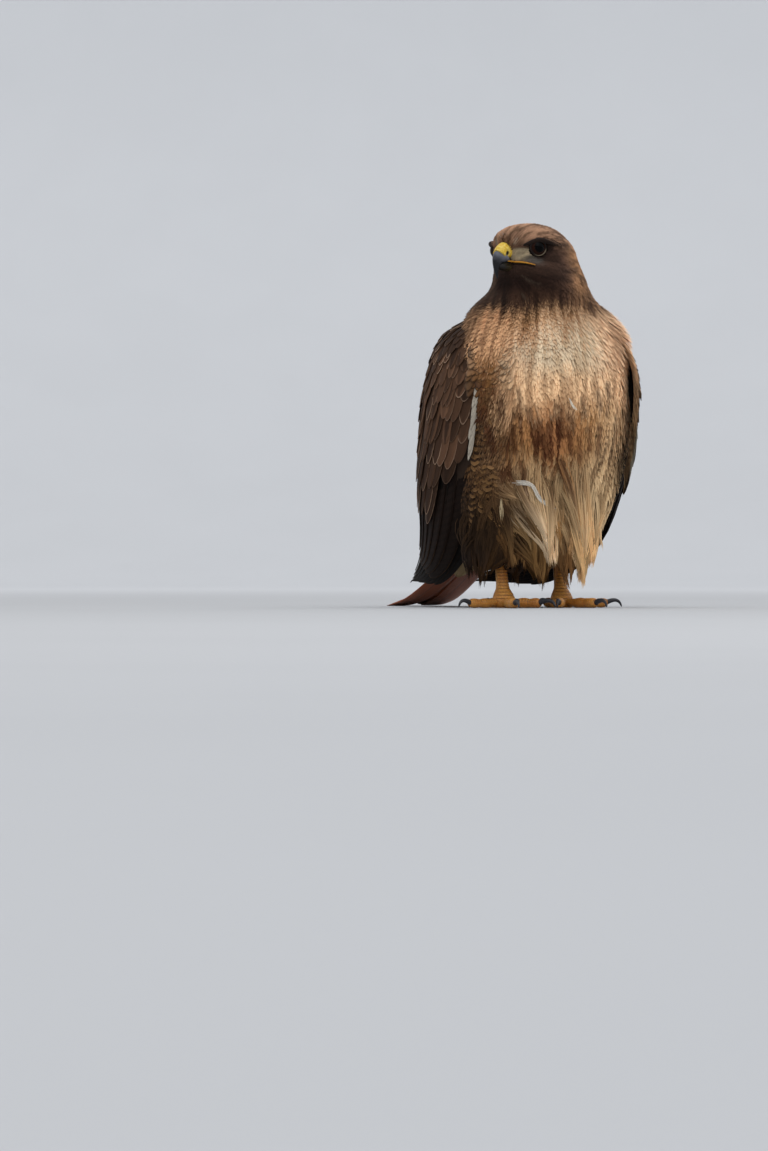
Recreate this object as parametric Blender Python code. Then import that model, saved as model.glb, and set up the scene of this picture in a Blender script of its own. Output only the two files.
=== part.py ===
"""A red tailed hawk that stands upright with its head turned far to its right: the solids.

The tables are in millimetres and the meshes in metres. The bird faces -Y, its left side is +X and
+Z is up. It stands on the plane z = 0 with its toes, and the tips of the tail lie on it too. At the
end an empty moves the whole bird, so that the middle of its bounding box stands over the origin.
"""

from math import cos, hypot, pi, radians, sin

import bmesh
import bpy
from mathutils import Matrix, Vector

MM = 0.001
GAP = 0.3  # air between two solids that meet
WIDE_GAP = 0.36  # where the other solid is cut back in turn, so that no two faces coincide
CORNER_GROWTH = 1.15  # most that a grown cutter's sharp corner moves, as a multiple of the gap

# Trunk, as level slices: height, middle y, half width, reach to the front, reach to the back
TRUNK = (
    (54, 26, 20, 20, 22),
    (60, 24, 38, 34, 32),
    (74, 19, 54, 48, 43),
    (98, 12, 68, 62, 57),
    (130, 6, 79, 73, 70),
    (165, 1, 86, 81, 80),
    (207, -3, 88, 83, 86),
    (240, -5, 84, 77, 82),
    (262, -6, 76, 68, 72),
    (284, -8, 63, 58, 58),
)
TRUNK_SIDES = 24

# Neck and head, as level slices: height, step ahead of the head's middle, half width, front, back
HEAD_MIDDLE = Vector((-14.7, -26.3, 0))
HEAD_YAW = radians(67)  # turned to the bird's right
NECK_TOP = 312
HEAD_SLICES = (
    (NECK_TOP, -8, 44, 48, 50),
    (319, -8, 42, 47, 48),
    (327, -5, 39, 46, 47),
    (335, -1, 37, 44, 47),
    (343, 2, 36.5, 42, 44),
    (349, 5, 35.5, 39, 41),
    (355, 7, 30, 34, 34),
    (360, 7, 23, 26, 27),
    (364, 7, 14, 16, 17),
    (366.3, 7, 5, 6, 6),
)
HEAD_SIDES = 22
FACE_POINT = 1.7  # power of the slices' fronts; 2 would be an ellipse, less is more pointed
NECK_WAIST = ((0, 1), (0.3, 0.975), (0.6, 0.965), (1, 1))  # share of its height, how far it draws in

# Eyes, in the head's own frame: ahead, to the side, height
EYE_AT = (23.5, 23.8, 342.5)
EYE_RADIUS = 9.2
EYE_SIDES, EYE_RINGS = 12, 7
EYE_TURN = radians(28)  # from straight to the side towards the bill
LID_RADIUS, LID_THICK = 7.6, 1.5
LID_LOOK = (9, 19, 0.5)  # the way a lid faces: ahead, out, up
LID_SIDES, LID_TUBE_SIDES = 12, 5

# Ridges on the head, as places ahead and high, then their thickness and how far their middle stands off
BROW = ((37, 347.0), (30, 350.2), (20, 351.4), (8, 348.6)), 2.7, 0.8
GAPE = ((42, 329.3), (37, 328.8), (31, 327.8), (24.5, 326.4)), 1.5, 0.3
RIDGE_SIDES, RIDGE_STEPS = 6, 5
RIDGE_END = 0.35  # of its thickness

# Bill, as slanted slices: top (ahead, height), bottom (ahead, height), half width
CERE = (
    ((34, 347.5), (32, 331.0), 11.0),
    ((43, 349.0), (39, 330.0), 9.6),
    ((49.5, 347.6), (41.5, 329.4), 8.8),
    ((54.0, 344.4), (43.6, 329.0), 8.0),
)
BILL_UPPER = (
    ((54.3, 344.0), (43.9, 328.6), 7.8),
    ((57.6, 339.6), (47.0, 328.2), 6.4),
    ((59.2, 333.6), (50.2, 327.4), 4.9),
    ((58.6, 327.6), (52.4, 325.2), 3.4),
    ((56.2, 322.8), (52.6, 322.6), 2.0),
    ((53.4, 319.9), (52.0, 320.5), 0.9),
)
BILL_LOWER = (
    ((30, 327.6), (30, 318.0), 9.0),
    ((40, 327.8), (40, 317.6), 7.4),
    ((46, 327.2), (45.6, 318.6), 5.6),
    ((50, 325.6), (49.4, 321.0), 2.9),
)
BILL_SIDES = 12
BILL_EGG = 0.15  # how much wider a slice is below its middle than above
NOSTRIL_AT = (47.5, 9.2, 339.5)
NOSTRIL_RADIUS = 1.9

# Feathered thigh, as level slices: height, x, y, half width, half depth
THIGH = (
    (166, 46, -6, 8, 8),
    (156, 46, -6, 24, 30),
    (132, 46, -6, 35, 45),
    (104, 45, -3, 35, 43),
    (80, 42, 1, 31, 36),
    (62, 39, 4, 26, 30),
    (50, 35, 6, 19, 21),
    (44, 32.5, 7, 13, 14),
)
THIGH_SIDES = 18

# Shank and foot: height, y, half width, half depth, about x = FOOT_X
FOOT_X = 32
SHANK = (
    (44 - GAP, 7.0, 5.6, 6.4),
    (30, 4.2, 5.7, 6.6),
    (19, 2.0, 6.6, 7.6),
    (13, 0.6, 9.6, 10.2),
    (7, 0.0, 11.4, 11.8),
    (2, 0.0, 11.0, 11.4),
    (0, 0.0, 9.4, 9.8),
)
SHANK_SIDES = 16

# Toes: turn out from straight ahead in degrees, length of the toe, its base radius, reach of the claw
TOES = {
    "right": {1: (188, 27, 4.5, 19), 2: (-30, 33, 4.6, 17), 3: (17, 45, 4.6, 16), 4: (76, 37, 4.2, 14)},
    "left": {1: (176, 27, 4.5, 19), 2: (-34, 33, 4.6, 17), 3: (9, 45, 4.6, 16), 4: (68, 37, 4.2, 14)},
}
TOE_SIDES = 8
TOE_BEYOND_FOOT = 7.4  # a toe's length is counted from this far out of the foot's middle
# Along a toe: share of its reach, swelling of each pad and joint, height of the middle
TOE_ROWS = (
    (0.16, 0.8, 5.4),
    (0.36, 0.88, 4.8),
    (0.46, 1.04, 4.6),
    (0.58, 1.12, 4.6),
    (0.72, 0.95, 4.5),
    (0.84, 1.08, 4.6),
    (0.95, 1.0, 4.8),
    (1.0, 0.8, 5.0),
)
CLAW_SIDES, CLAW_STEPS = 6, 5
CLAW_ROOT_HEIGHT, CLAW_TIP_HEIGHT = 5.0, 0.8
CLAW_ARCH = 2.9  # rise of its back on the way
CLAW_ROOT, CLAW_POINT = 0.66, 0.35  # radius at the root, of the toe's; radius of the point
CLAW_FLOOR = 0.2  # a claw stays this far off the plane z = 0

# Outer surface of the folded wing: share of its length, then five places from the leading edge,
# which lies along the breast and then lowest, over the side of the bird to the edge on its back
WING_SHEET = (
    (0.00, ((46, -28, 278), (56, -9, 282), (53, 17, 284), (36, 38, 284), (7, 45, 283))),
    (0.10, ((74, -37, 257), (88, -8, 258), (87, 28, 260), (65, 61, 262), (9, 80, 262))),
    (0.28, ((88, -49, 214), (102, -14, 212), (103, 30, 212), (78, 74, 214), (10, 99, 214))),
    (0.47, ((89, -38, 148), (104, -2, 146), (104, 42, 148), (76, 88, 156), (8, 108, 164))),
    (0.62, ((85, -16, 98), (101, 18, 96), (98, 62, 100), (68, 104, 114), (8, 124, 126))),
    (0.73, ((80, 12, 60), (94, 46, 62), (86, 86, 72), (56, 124, 88), (8, 144, 100))),
    (0.83, ((71, 52, 35), (80, 84, 40), (70, 118, 52), (44, 150, 66), (9, 168, 76))),
    (0.92, ((58, 102, 20), (61, 128, 27), (53, 154, 37), (34, 176, 47), (11, 190, 54))),
    (1.00, ((43, 156, 18), (37, 194, 24), (29, 209, 26), (22, 204, 33), (14, 198, 38))),
)
CORE_THICK = ((0.0, 14), (0.5, 13), (0.62, 8), (0.72, 4), (0.80, 1.6))
CORE_SINK = ((0.0, 2.4), (0.3, 3.2), (0.6, 3.6), (0.80, 3.4))
CORE_END = 0.80
CORE_STEPS, CORE_STEPS_ACROSS = 8, 7
CORE_ACROSS = (0.03, 0.98)
CORE_RIM = 0.4  # of its thickness

# Longest wing feathers: share along the wing of their roots and of each tip, shares across it of the
# first and last root and of the first and last tip, full width, height over the outer surface at root
# and tip and how much each next one adds to both, rows of places
PRIMARY_TIPS = (0.930, 0.970, 1.0, 0.995, 0.970, 0.945)
PRIMARIES = (0.56, (0.08, 0.44), (0.03, 0.60), 28, (-7.8, -3.0), (0.35, 0.3), 4)
# The other tiers: how many, shares across the wing of the first and the last, shares along it of their
# roots and of their tips, full width, height over the outer surface at root and tip, rows of places
WING_TIERS = {
    "secondaries": (7, (0.16, 0.88), (0.49, 0.51), (0.88, 0.80), 44, (-6.6, -0.8), 4),
    "greater": (7, (0.10, 0.89), (0.33, 0.35), (0.66, 0.63), 43, (-6.0, -0.2), 3),
    "median": (6, (0.10, 0.88), (0.17, 0.19), (0.46, 0.45), 45, (-5.6, 0.2), 3),
    "lesser": (5, (0.13, 0.87), (0.05, 0.05), (0.28, 0.29), 46, (-5.2, 0.5), 3),
}
CROWDING = 0.87  # power that spaces a tier evenly, as the outer surface widens towards the back
LIFT_POWER = 0.8  # how early a feather comes up to the height of its tip
VANE_THICK = 0.8
SHAFT_RISE = 0.4  # of the thickness
VANE_ROLL = 0.08  # each feather's leading side lies over the one in front of it
VANE_PROFILE = ((0.0, 0.7), (0.3, 0.95), (0.65, 1.0), (0.85, 0.8), (1.0, 0.3))

# Tail: the middle line of its upper side from the root, then how the feathers spread
TAIL_LINE = (
    (0, 50, 100),
    (0, 78, 84),
    (0, 116, 60),
    (0, 160, 36),
    (0, 206, 16),
    (0, 240, 8),
    (0, 264, 6),
)
TAIL_CORE_WIDTHS = ((0.0, 24), (0.2, 26), (0.4, 19), (0.52, 10))
TAIL_CORE_THICK = ((0.0, 24), (0.2, 19), (0.4, 9), (0.52, 4))
TAIL_CORE_END = 0.52
TAIL_CORE_STEPS = 7
# Its slice: share of the width to the side, share of the thickness down
TAIL_CORE_SLICE = (
    (-1, 0.5),
    (-0.6, 0.1),
    (0, -0.05),
    (0.6, 0.1),
    (1, 0.5),
    (0.65, 0.9),
    (0, 1.05),
    (-0.65, 0.9),
)
TAIL_PAIRS = 6
TAIL_ROOT = 0.10
TAIL_FIRST_OUT = 2.2  # of the middle pair at its tips
TAIL_ROOT_OUT = 0.35  # share of that at the roots
TAIL_STEP_OUT, TAIL_STEP_DOWN = 3.7, 1.1  # from one pair of tail feathers to the next
TAIL_STEP_SHORT = 0.006  # share of the length by which each next pair is shorter
TAIL_RIGHT_DOWN = 0.5  # the right feather of a pair lies under the left one
TAIL_ROOT_DOWN = 3.5  # the roots lie this much deeper, in the fleshy part
TAIL_UP = (0, 0.3, 0.95)
TAIL_VANE_WIDTH, TAIL_VANE_ROWS = 28, 4
TAIL_ARCH = 0.02  # fall of a tail feather's edges for its half width, near the root
TAIL_PROFILE = ((0.0, 0.5), (0.3, 0.8), (0.65, 0.95), (0.93, 1.0), (1.0, 0.62))

# Locks: heights of the roots, length, full width, thickness, how far the tips stand off
BELLY_LOCKS = ((120, 40, 18, 2.6, 3.0), (98, 40, 15, 2.6, 3.5), (76, 38, 13, 2.4, 4.0))
BELLY_TURNS = ((-22, -7, 8, 23), (-11, 2, 15), (-6, 7))
THIGH_LOCKS = ((110, 42, 24, 2.6, 2.5), (86, 40, 22, 2.6, 3.0), (64, 0, 18, 2.4, 2.5))
THIGH_TURNS = (-150, -100, -56, -14, 28, 80, 150)
BARE_TURNS = (50, 160)  # where the wing lies over the thigh, which has only its lowest locks there
LAST_LOCK = {"left": (40, 32), "right": (24, 22)}  # length of a thigh's lowest locks, outside and inside
LOCK_PROFILE = ((0.0, 0.8), (0.3, 1.0), (0.7, 0.66), (1.0, 0.14))
LOCK_DEPTH = -4.0  # of the root, in the flesh
LOCK_BEND = (0.6, 0.4)  # how far a lock stands off: share at once, share that grows towards its tip
LOCK_TILT = 0.2
LOCK_SHIFT = 14  # degrees that every second tier of a thigh's locks is turned
BELLY_UNEVEN, THIGH_UNEVEN = 0.16, 0.14  # by which the locks' lengths differ


def colour(code):
    """The linear colour of an sRGB code such as 5a4438"""
    parts = [int(code[k:k + 2], 16) / 255 for k in (0, 2, 4)]
    return [c / 12.92 if c <= 0.04045 else ((c + 0.055) / 1.055) ** 2.4 for c in parts] + [1.0]


def make_material(name, code, roughness):
    material = bpy.data.materials.new(name)
    material.use_nodes = True
    shader = material.node_tree.nodes["Principled BSDF"]
    shader.inputs["Base Color"].default_value = colour(code)
    shader.inputs["Roughness"].default_value = roughness
    shader.inputs["Metallic"].default_value = 0.0
    material.diffuse_color = colour(code)
    return material


def between(table, share):
    """The values of a table at a share of the way, on a smooth curve through its rows"""
    keys = [row[0] for row in table]
    values = [row[1] for row in table]
    share = min(max(share, keys[0]), keys[-1])
    k = max(i for i in range(len(keys) - 1) if keys[i] <= share)
    span = keys[k + 1] - keys[k]
    t = (share - keys[k]) / span

    def slope(i):
        low, high = max(i - 1, 0), min(i + 1, len(keys) - 1)
        return (values[high] - values[low]) / (keys[high] - keys[low])

    start, end = values[k], values[k + 1]
    return (start * (2 * t**3 - 3 * t**2 + 1) + slope(k) * (span * (t**3 - 2 * t**2 + t))
            + end * (3 * t**2 - 2 * t**3) + slope(k + 1) * (span * (t**3 - t**2)))


def add_solid(name, points, faces, material):
    """An object with its faces turned outwards, from points in millimetres"""
    mesh = bpy.data.meshes.new(name)
    shape = bmesh.new()
    corners = [shape.verts.new(Vector(point) * MM) for point in points]
    for face in faces:
        shape.faces.new([corners[k] for k in face])
    bmesh.ops.triangulate(shape, faces=shape.faces)  # so that a grown copy is split in the same way
    bmesh.ops.recalc_face_normals(shape, faces=shape.faces)
    shape.to_mesh(mesh)
    shape.free()
    mesh.shade_smooth()
    mesh.set_sharp_from_angle(angle=radians(40))
    mesh.materials.append(material)
    solid = bpy.data.objects.new(name, mesh)
    bpy.context.scene.collection.objects.link(solid)
    return solid


def add_loft(name, rings, material):
    """A closed skin over rings of equal count, with a flat end on the first and the last"""
    count = len(rings[0])
    points = [point for ring in rings for point in ring]
    faces = [list(range(count)), [len(points) - count + k for k in range(count)]]
    for row in range(len(rings) - 1):
        for k in range(count):
            after = (k + 1) % count
            low, high = row * count, (row + 1) * count
            faces.append((low + k, low + after, high + after, high + k))
    return add_solid(name, points, faces, material)


def oval(middle, side, front, back, yaw, count, point=2.0):
    """A level ring round middle, turned by yaw from -Y towards -X; point is the power of its front"""
    ring = []
    for k in range(count):
        angle = 2 * pi * k / count
        ahead = cos(angle - yaw)
        length, power = (front, point) if ahead > 0 else (back, 2.0)
        reach = (abs(ahead / length) ** power + abs(sin(angle - yaw) / side) ** power) ** (-1 / power)
        ring.append(middle + Vector((-reach * sin(angle), -reach * cos(angle), 0)))
    return ring


def in_head(ahead, side, height):
    """A place in the bird's frame, from one in the head's frame with side positive to its left"""
    forward = Vector((-sin(HEAD_YAW), -cos(HEAD_YAW), 0))
    left = Vector((cos(HEAD_YAW), -sin(HEAD_YAW), 0))
    return HEAD_MIDDLE + forward * ahead + left * side + Vector((0, 0, height))


def apply_boolean(target, operation, operand=None, group=None):
    """Runs one Boolean on the target for good, with another solid or with a whole collection"""
    step = target.modifiers.new("Boolean", "BOOLEAN")
    step.operation = operation
    step.solver = "MANIFOLD"
    if group:
        step.operand_type = "COLLECTION"
        step.collection = group
    else:
        step.object = operand
    bpy.context.view_layer.update()
    graph = bpy.context.evaluated_depsgraph_get()
    mesh = bpy.data.meshes.new_from_object(target.evaluated_get(graph))
    target.modifiers.clear()
    target.data = mesh


def keep_largest(target):
    """Keeps the closed surface with the most volume and drops the crumbs"""
    shape = bmesh.new()
    shape.from_mesh(target.data)
    waiting = set(shape.faces)
    islands = []
    while waiting:
        island, reached = set(), [waiting.pop()]
        while reached:
            face = reached.pop()
            island.add(face)
            for edge in face.edges:
                for near in edge.link_faces:
                    if near in waiting:
                        waiting.discard(near)
                        reached.append(near)
        islands.append(island)

    def volume(island):
        return sum(face.normal.dot(face.calc_center_median()) * face.calc_area() / 3 for face in island)

    largest = max(islands, key=volume)
    spare = [face for island in islands if island is not largest for face in island]
    bmesh.ops.delete(shape, geom=spare, context="FACES")
    shape.to_mesh(target.data)
    shape.free()


def fuse(target, pieces):
    """Joins the pieces to the target in one Boolean and removes them"""
    group = bpy.data.collections.new("pieces")
    bpy.context.scene.collection.children.link(group)
    for piece in pieces:
        bpy.context.scene.collection.objects.unlink(piece)
        group.objects.link(piece)
    apply_boolean(target, "UNION", group=group)
    for piece in pieces:
        bpy.data.objects.remove(piece)
    bpy.data.collections.remove(group)
    keep_largest(target)


def carve(target, solids, gap=GAP):
    """Cuts other solids out of the target, with a gap all round them"""
    for solid in solids:
        cutter = bpy.data.objects.new("cutter", solid.data.copy())
        bpy.context.scene.collection.objects.link(cutter)
        cutter.hide_render = True
        cutter.display_type = "WIRE"
        shape = bmesh.new()
        shape.from_mesh(cutter.data)
        shape.normal_update()
        for corner in shape.verts:
            corner.co += corner.normal * (min(corner.calc_shell_factor(), CORNER_GROWTH) * gap * MM)
        shape.to_mesh(cutter.data)
        shape.free()
        apply_boolean(target, "DIFFERENCE", operand=cutter)
        bpy.data.objects.remove(cutter)
    keep_largest(target)


def add_tube(name, line, radii, sides, material, floor=None):
    """A round tube with upright ends along a line of places, flattened where it would pass the floor"""
    rings = []
    for k, place in enumerate(line):
        along = line[min(k + 1, len(line) - 1)] - line[max(k - 1, 0)]
        if k in (0, len(line) - 1):
            along.z = 0
        along.normalize()
        across = Vector((0, 0, 1)).cross(along).normalized()
        up = along.cross(across)
        ring = []
        for j in range(sides):
            angle = 2 * pi * j / sides
            point = place + (across * cos(angle) + up * sin(angle)) * radii[k]
            if floor is not None:
                point.z = max(point.z, floor)
            ring.append(point)
        rings.append(ring)
    return add_loft(name, rings, material)


def add_lock(places, ups, widths, thick, material):
    """A lock as a flat closed strip, both faces split into triangles alike"""
    last = len(places) - 1
    points, faces = [], [(0, 1, 3, 2), tuple(4 * last + k for k in (0, 1, 3, 2))]
    for k, place in enumerate(places):
        along = (places[min(k + 1, last)] - places[max(k - 1, 0)]).normalized()
        side = along.cross(ups[k]).normalized()
        up = side.cross(along)
        for half in (0.5, -0.5):
            for across in (-0.5, 0.5):
                points.append(place + side * (across * widths[k]) + up * (half * thick))
    for k in range(last):
        i, j = 4 * k, 4 * (k + 1)
        faces += [(i, i + 1, j + 1), (i, j + 1, j), (i + 2, j + 3, i + 3), (i + 2, j + 2, j + 3)]
        faces += [(i, j, j + 2), (i, j + 2, i + 2), (i + 1, i + 3, j + 3), (i + 1, j + 3, j + 1)]
    return add_solid("lock", points, faces, material)


def add_vane(rows, thick, material):
    """A feather as a thin closed strip, both faces split into triangles alike

    Each row holds a place and the way up there for the left edge, the shaft and the right edge.
    """
    last = len(rows) - 1
    points, faces = [], []
    for row in rows:
        for half in (0.5, -0.5):
            for number, (place, up) in enumerate(row):
                points.append(place + up * (thick * (half + (SHAFT_RISE if number == 1 else 0))))
    for k in range(last):
        i, j = 6 * k, 6 * (k + 1)
        for a, b in ((0, 1), (1, 2)):
            faces += [(i + a, i + b, j + b), (i + a, j + b, j + a)]
            faces += [(i + a + 3, j + b + 3, i + b + 3), (i + a + 3, j + a + 3, j + b + 3)]
        faces += [(i, j, j + 3), (i, j + 3, i + 3), (i + 2, i + 5, j + 5), (i + 2, j + 5, j + 2)]
    for end in (0, 6 * last):
        faces += [(end, end + 1, end + 4, end + 3), (end + 1, end + 2, end + 5, end + 4)]
    return add_solid("vane", points, faces, material)


def trunk_place(turn, height):
    """A place on the trunk's side, turned in degrees from straight ahead to its left, and the way out"""
    y, side, front, back = [between([(row[0], row[k]) for row in TRUNK], height) for k in (1, 2, 3, 4)]
    way = Vector((sin(radians(turn)), -cos(radians(turn)), 0))
    reach = 1 / hypot(way.y / (front if way.y < 0 else back), way.x / side)
    return Vector((0, y, height)) + way * reach, way


def thigh_place(side, turn, height):
    """The same on a thigh; below its end the place stays under the end's rim"""
    table = [tuple(row) for row in reversed(THIGH)]
    x, y, half, deep = [between([(row[0], row[k]) for row in table], height) for k in (1, 2, 3, 4)]
    way = Vector((side * sin(radians(turn)), -cos(radians(turn)), 0))
    reach = 1 / hypot(way.y / deep, way.x / half)
    return Vector((side * x, y, height)) + way * reach, way


def make_lock(surface, turn, row, length, material):
    """A flat tapered lock that leaves a surface, hangs along it and stands off at its tip"""
    height, _, width, thick, off = row
    places, ups, widths = [], [], []
    for share, profile in LOCK_PROFILE:
        place, way = surface(turn, height - length * share)
        place.z = height - length * share
        bend = off * (LOCK_BEND[0] + LOCK_BEND[1] * share)
        places.append(place + way * (bend if share else LOCK_DEPTH))
        ups.append((way + Vector((0, 0, LOCK_TILT))).normalized())
        widths.append(width * profile)
    return add_lock(places, ups, widths, thick, material)


def make_belly_locks(material):
    locks = []
    for number, row in enumerate(BELLY_LOCKS):
        for k, turn in enumerate(BELLY_TURNS[number]):
            length = row[1] * (1 + BELLY_UNEVEN * sin(2.3 * k + 1.7 * number))
            locks.append(make_lock(trunk_place, turn, row, length, material))
    return locks


def make_thigh_locks(name, side, material):
    locks = []
    outside, inside = LAST_LOCK[name]

    def surface(turn, height):
        return thigh_place(side, turn, height)

    for number, row in enumerate(THIGH_LOCKS):
        for k, turn in enumerate(THIGH_TURNS):
            if row[1] and BARE_TURNS[0] < turn < BARE_TURNS[1]:
                continue
            length = row[1] or (outside if turn > -20 else inside)
            length *= 1 + THIGH_UNEVEN * sin(1.9 * k + 2.1 * number + side)
            locks.append(make_lock(surface, turn - LOCK_SHIFT * (number % 2), row, length, material))
    return locks


def make_trunk(material):
    rings = []
    for z, y, side, front, back in TRUNK:
        rings.append(oval(Vector((0, y, z)), side, front, back, 0, TRUNK_SIDES))
    return add_loft("torso", rings, material)


def head_ring(z, step, side, front, back):
    return oval(in_head(step, 0, z), side, front, back, HEAD_YAW, HEAD_SIDES, FACE_POINT)


def head_side(ahead, height):
    """Half the head's width at a place ahead of its middle"""
    tables = [[(row[0], row[k]) for row in HEAD_SLICES] for k in (1, 2, 3, 4)]
    step, side, front, back = [between(table, height) for table in tables]
    forward = ahead - step
    length, power = (front, FACE_POINT) if forward > 0 else (back, 2.0)
    return side * max(1 - (abs(forward) / length) ** power, 0.03) ** (1 / power)


def make_neck(material):
    """Turns from the trunk's top slice to the head's lowest one"""
    z, y, side, front, back = TRUNK[-1]
    low = oval(Vector((0, y, z + GAP)), side, front, back, 0, HEAD_SIDES)
    _, step, side, front, back = HEAD_SLICES[0]
    high = head_ring(NECK_TOP - GAP, step, side, front, back)
    rings = []
    for share, pinch in NECK_WAIST:
        ring = [a.lerp(b, share) for a, b in zip(low, high)]
        middle = sum(ring, Vector()) / len(ring)
        rings.append([middle + (point - middle) * pinch for point in ring])
    return add_loft("neck", rings, material)


def make_eye(name, side, material):
    bpy.ops.mesh.primitive_uv_sphere_add(segments=EYE_SIDES, ring_count=EYE_RINGS, radius=EYE_RADIUS * MM)
    eye = bpy.context.object
    eye.name = name
    ahead, out, height = EYE_AT
    eye.location = in_head(ahead, side * out, height) * MM
    eye.rotation_euler = (0, radians(90), -HEAD_YAW - side * EYE_TURN)
    bpy.context.view_layer.update()
    eye.data.transform(eye.matrix_world)
    eye.matrix_world.identity()
    eye.data.shade_smooth()
    eye.data.materials.append(material)
    return eye


def make_lids(side, material):
    """A ring round the seen part of the eye, standing in the plane that the eye looks out of"""
    ahead, out, height = EYE_AT
    middle = in_head(ahead, side * out, height)
    looks = in_head(ahead + LID_LOOK[0], side * (out + LID_LOOK[1]), height + LID_LOOK[2]) - middle
    looks.normalize()
    across = looks.cross(Vector((0, 0, 1))).normalized()
    up = across.cross(looks)
    depth = (EYE_RADIUS**2 - LID_RADIUS**2) ** 0.5
    points, faces, tube = [], [], LID_TUBE_SIDES
    for k in range(LID_SIDES):
        angle = 2 * pi * k / LID_SIDES
        spoke = across * cos(angle) + up * sin(angle)
        for j in range(tube):
            turn = 2 * pi * j / tube
            outward, beyond = LID_THICK * cos(turn), LID_THICK * sin(turn)
            points.append(middle + looks * (depth + beyond) + spoke * (LID_RADIUS + outward))
            after, beside = (k + 1) % LID_SIDES, (j + 1) % tube
            faces.append((k * tube + j, after * tube + j, after * tube + beside, k * tube + beside))
    return add_solid("lids", points, faces, material)


def make_ridge(places, thick, off, side, material):
    """A tapered ridge along the head's surface, such as a brow or a lip"""
    table = []
    for k, (ahead, height) in enumerate(places):
        out = side * (head_side(ahead, height) + off)
        table.append((k / (len(places) - 1), in_head(ahead, out, height)))
    shares = [k / RIDGE_STEPS for k in range(RIDGE_STEPS + 1)]
    line = [between(table, share) for share in shares]
    radii = [thick * (RIDGE_END + (1 - RIDGE_END) * sin(pi * share)) for share in shares]
    return add_tube("ridge", line, radii, RIDGE_SIDES, material)


def drill_nostrils(cere):
    """A round pit on each side"""
    for side in (-1, 1):
        bpy.ops.mesh.primitive_uv_sphere_add(segments=10, ring_count=6, radius=NOSTRIL_RADIUS * MM)
        pit = bpy.context.object
        ahead, out, height = NOSTRIL_AT
        pit.data.transform(Matrix.Translation(in_head(ahead, side * out, height) * MM))
        apply_boolean(cere, "DIFFERENCE", operand=pit)
        bpy.data.objects.remove(pit)


def bill_ring(top, bottom, half_width):
    """An egg-shaped slice between a top and a bottom place, both on the head's middle plane"""
    high, low = in_head(top[0], 0, top[1]), in_head(bottom[0], 0, bottom[1])
    middle, reach = (high + low) / 2, (high - low) / 2
    left = in_head(0, 1, 0) - in_head(0, 0, 0)
    ring = []
    for k in range(BILL_SIDES):
        angle = 2 * pi * k / BILL_SIDES
        out = half_width * sin(angle) * (1 - BILL_EGG * cos(angle))
        ring.append(middle + reach * cos(angle) + left * out)
    return ring


def make_bill(name, slices, material):
    return add_loft(name, [bill_ring(*row) for row in slices], material)


def make_thigh(name, side, material):
    rings = []
    for z, x, y, half, deep in THIGH:
        rings.append(oval(Vector((side * x, y, z)), half, deep, deep, 0, THIGH_SIDES))
    return add_loft(name, rings, material)


def make_shank(name, side, material):
    rings = []
    for z, y, half, deep in SHANK:
        rings.append(oval(Vector((side * FOOT_X, y, z)), half, deep, deep, 0, SHANK_SIDES))
    return add_loft(name, rings, material)


def toe_direction(side, turn):
    return Vector((side * sin(radians(turn)), -cos(radians(turn)), 0))


def make_toe(name, side, turn, length, radius, material):
    """A toe with a pad under each knuckle, flat on the floor"""
    start = Vector((side * FOOT_X, 0, 0))
    along = toe_direction(side, turn)
    reach = length + TOE_BEYOND_FOOT
    line = [start + along * (reach * share) + Vector((0, 0, lift)) for share, _, lift in TOE_ROWS]
    radii = [radius * swell for _, swell, _ in TOE_ROWS]
    return add_tube(name, line, radii, TOE_SIDES, material, floor=0)


def make_claw(name, side, turn, length, radius, reach, material):
    """A hook that leaves the toe's end, rises a little and comes down to its point"""
    start = Vector((side * FOOT_X, 0, 0))
    along = toe_direction(side, turn)
    root = length + TOE_BEYOND_FOOT + GAP
    line, radii = [], []
    for k in range(CLAW_STEPS + 1):
        share = k / CLAW_STEPS
        arch = CLAW_ARCH * sin(pi * min(share * 1.15, 1))
        height = CLAW_ROOT_HEIGHT + arch - (CLAW_ROOT_HEIGHT - CLAW_TIP_HEIGHT) * share**2
        line.append(start + along * (root + reach * sin(share * pi / 2)) + Vector((0, 0, height)))
        radii.append(radius * CLAW_ROOT * (1 - share) ** 0.75 + CLAW_POINT)
    return add_tube(name, line, radii, CLAW_SIDES, material, floor=CLAW_FLOOR)


def sheet_place(side, along, across):
    """A place on the outer surface of a folded wing and the way out of it"""
    columns = [[(row[0], Vector(row[1][k])) for row in WING_SHEET] for k in range(5)]

    def place(u, v):
        row = [(k / 4, between(columns[k], u)) for k in range(5)]
        return between(row, v)

    step = 0.004
    beyond = min(max(across, 0), 1)
    middle = place(along, beyond)
    if across != beyond:
        inside = beyond + (step if across < beyond else -step)
        middle = middle + (middle - place(along, inside)) * (abs(across - beyond) / step)
    across = beyond
    down = place(min(along + step, 1), across) - place(max(along - step, 0), across)
    over = place(along, min(across + step, 1)) - place(along, max(across - step, 0))
    out = down.cross(over).normalized()
    return Vector((side * middle.x, middle.y, middle.z)), Vector((side * out.x, out.y, out.z))


def sheet_breadth(along, across):
    """How far a place moves for each share across the wing"""
    step = 0.05
    low, high = max(across - step, 0), min(across + step, 1)
    return (sheet_place(1, along, high)[0] - sheet_place(1, along, low)[0]).length / (high - low)


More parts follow.
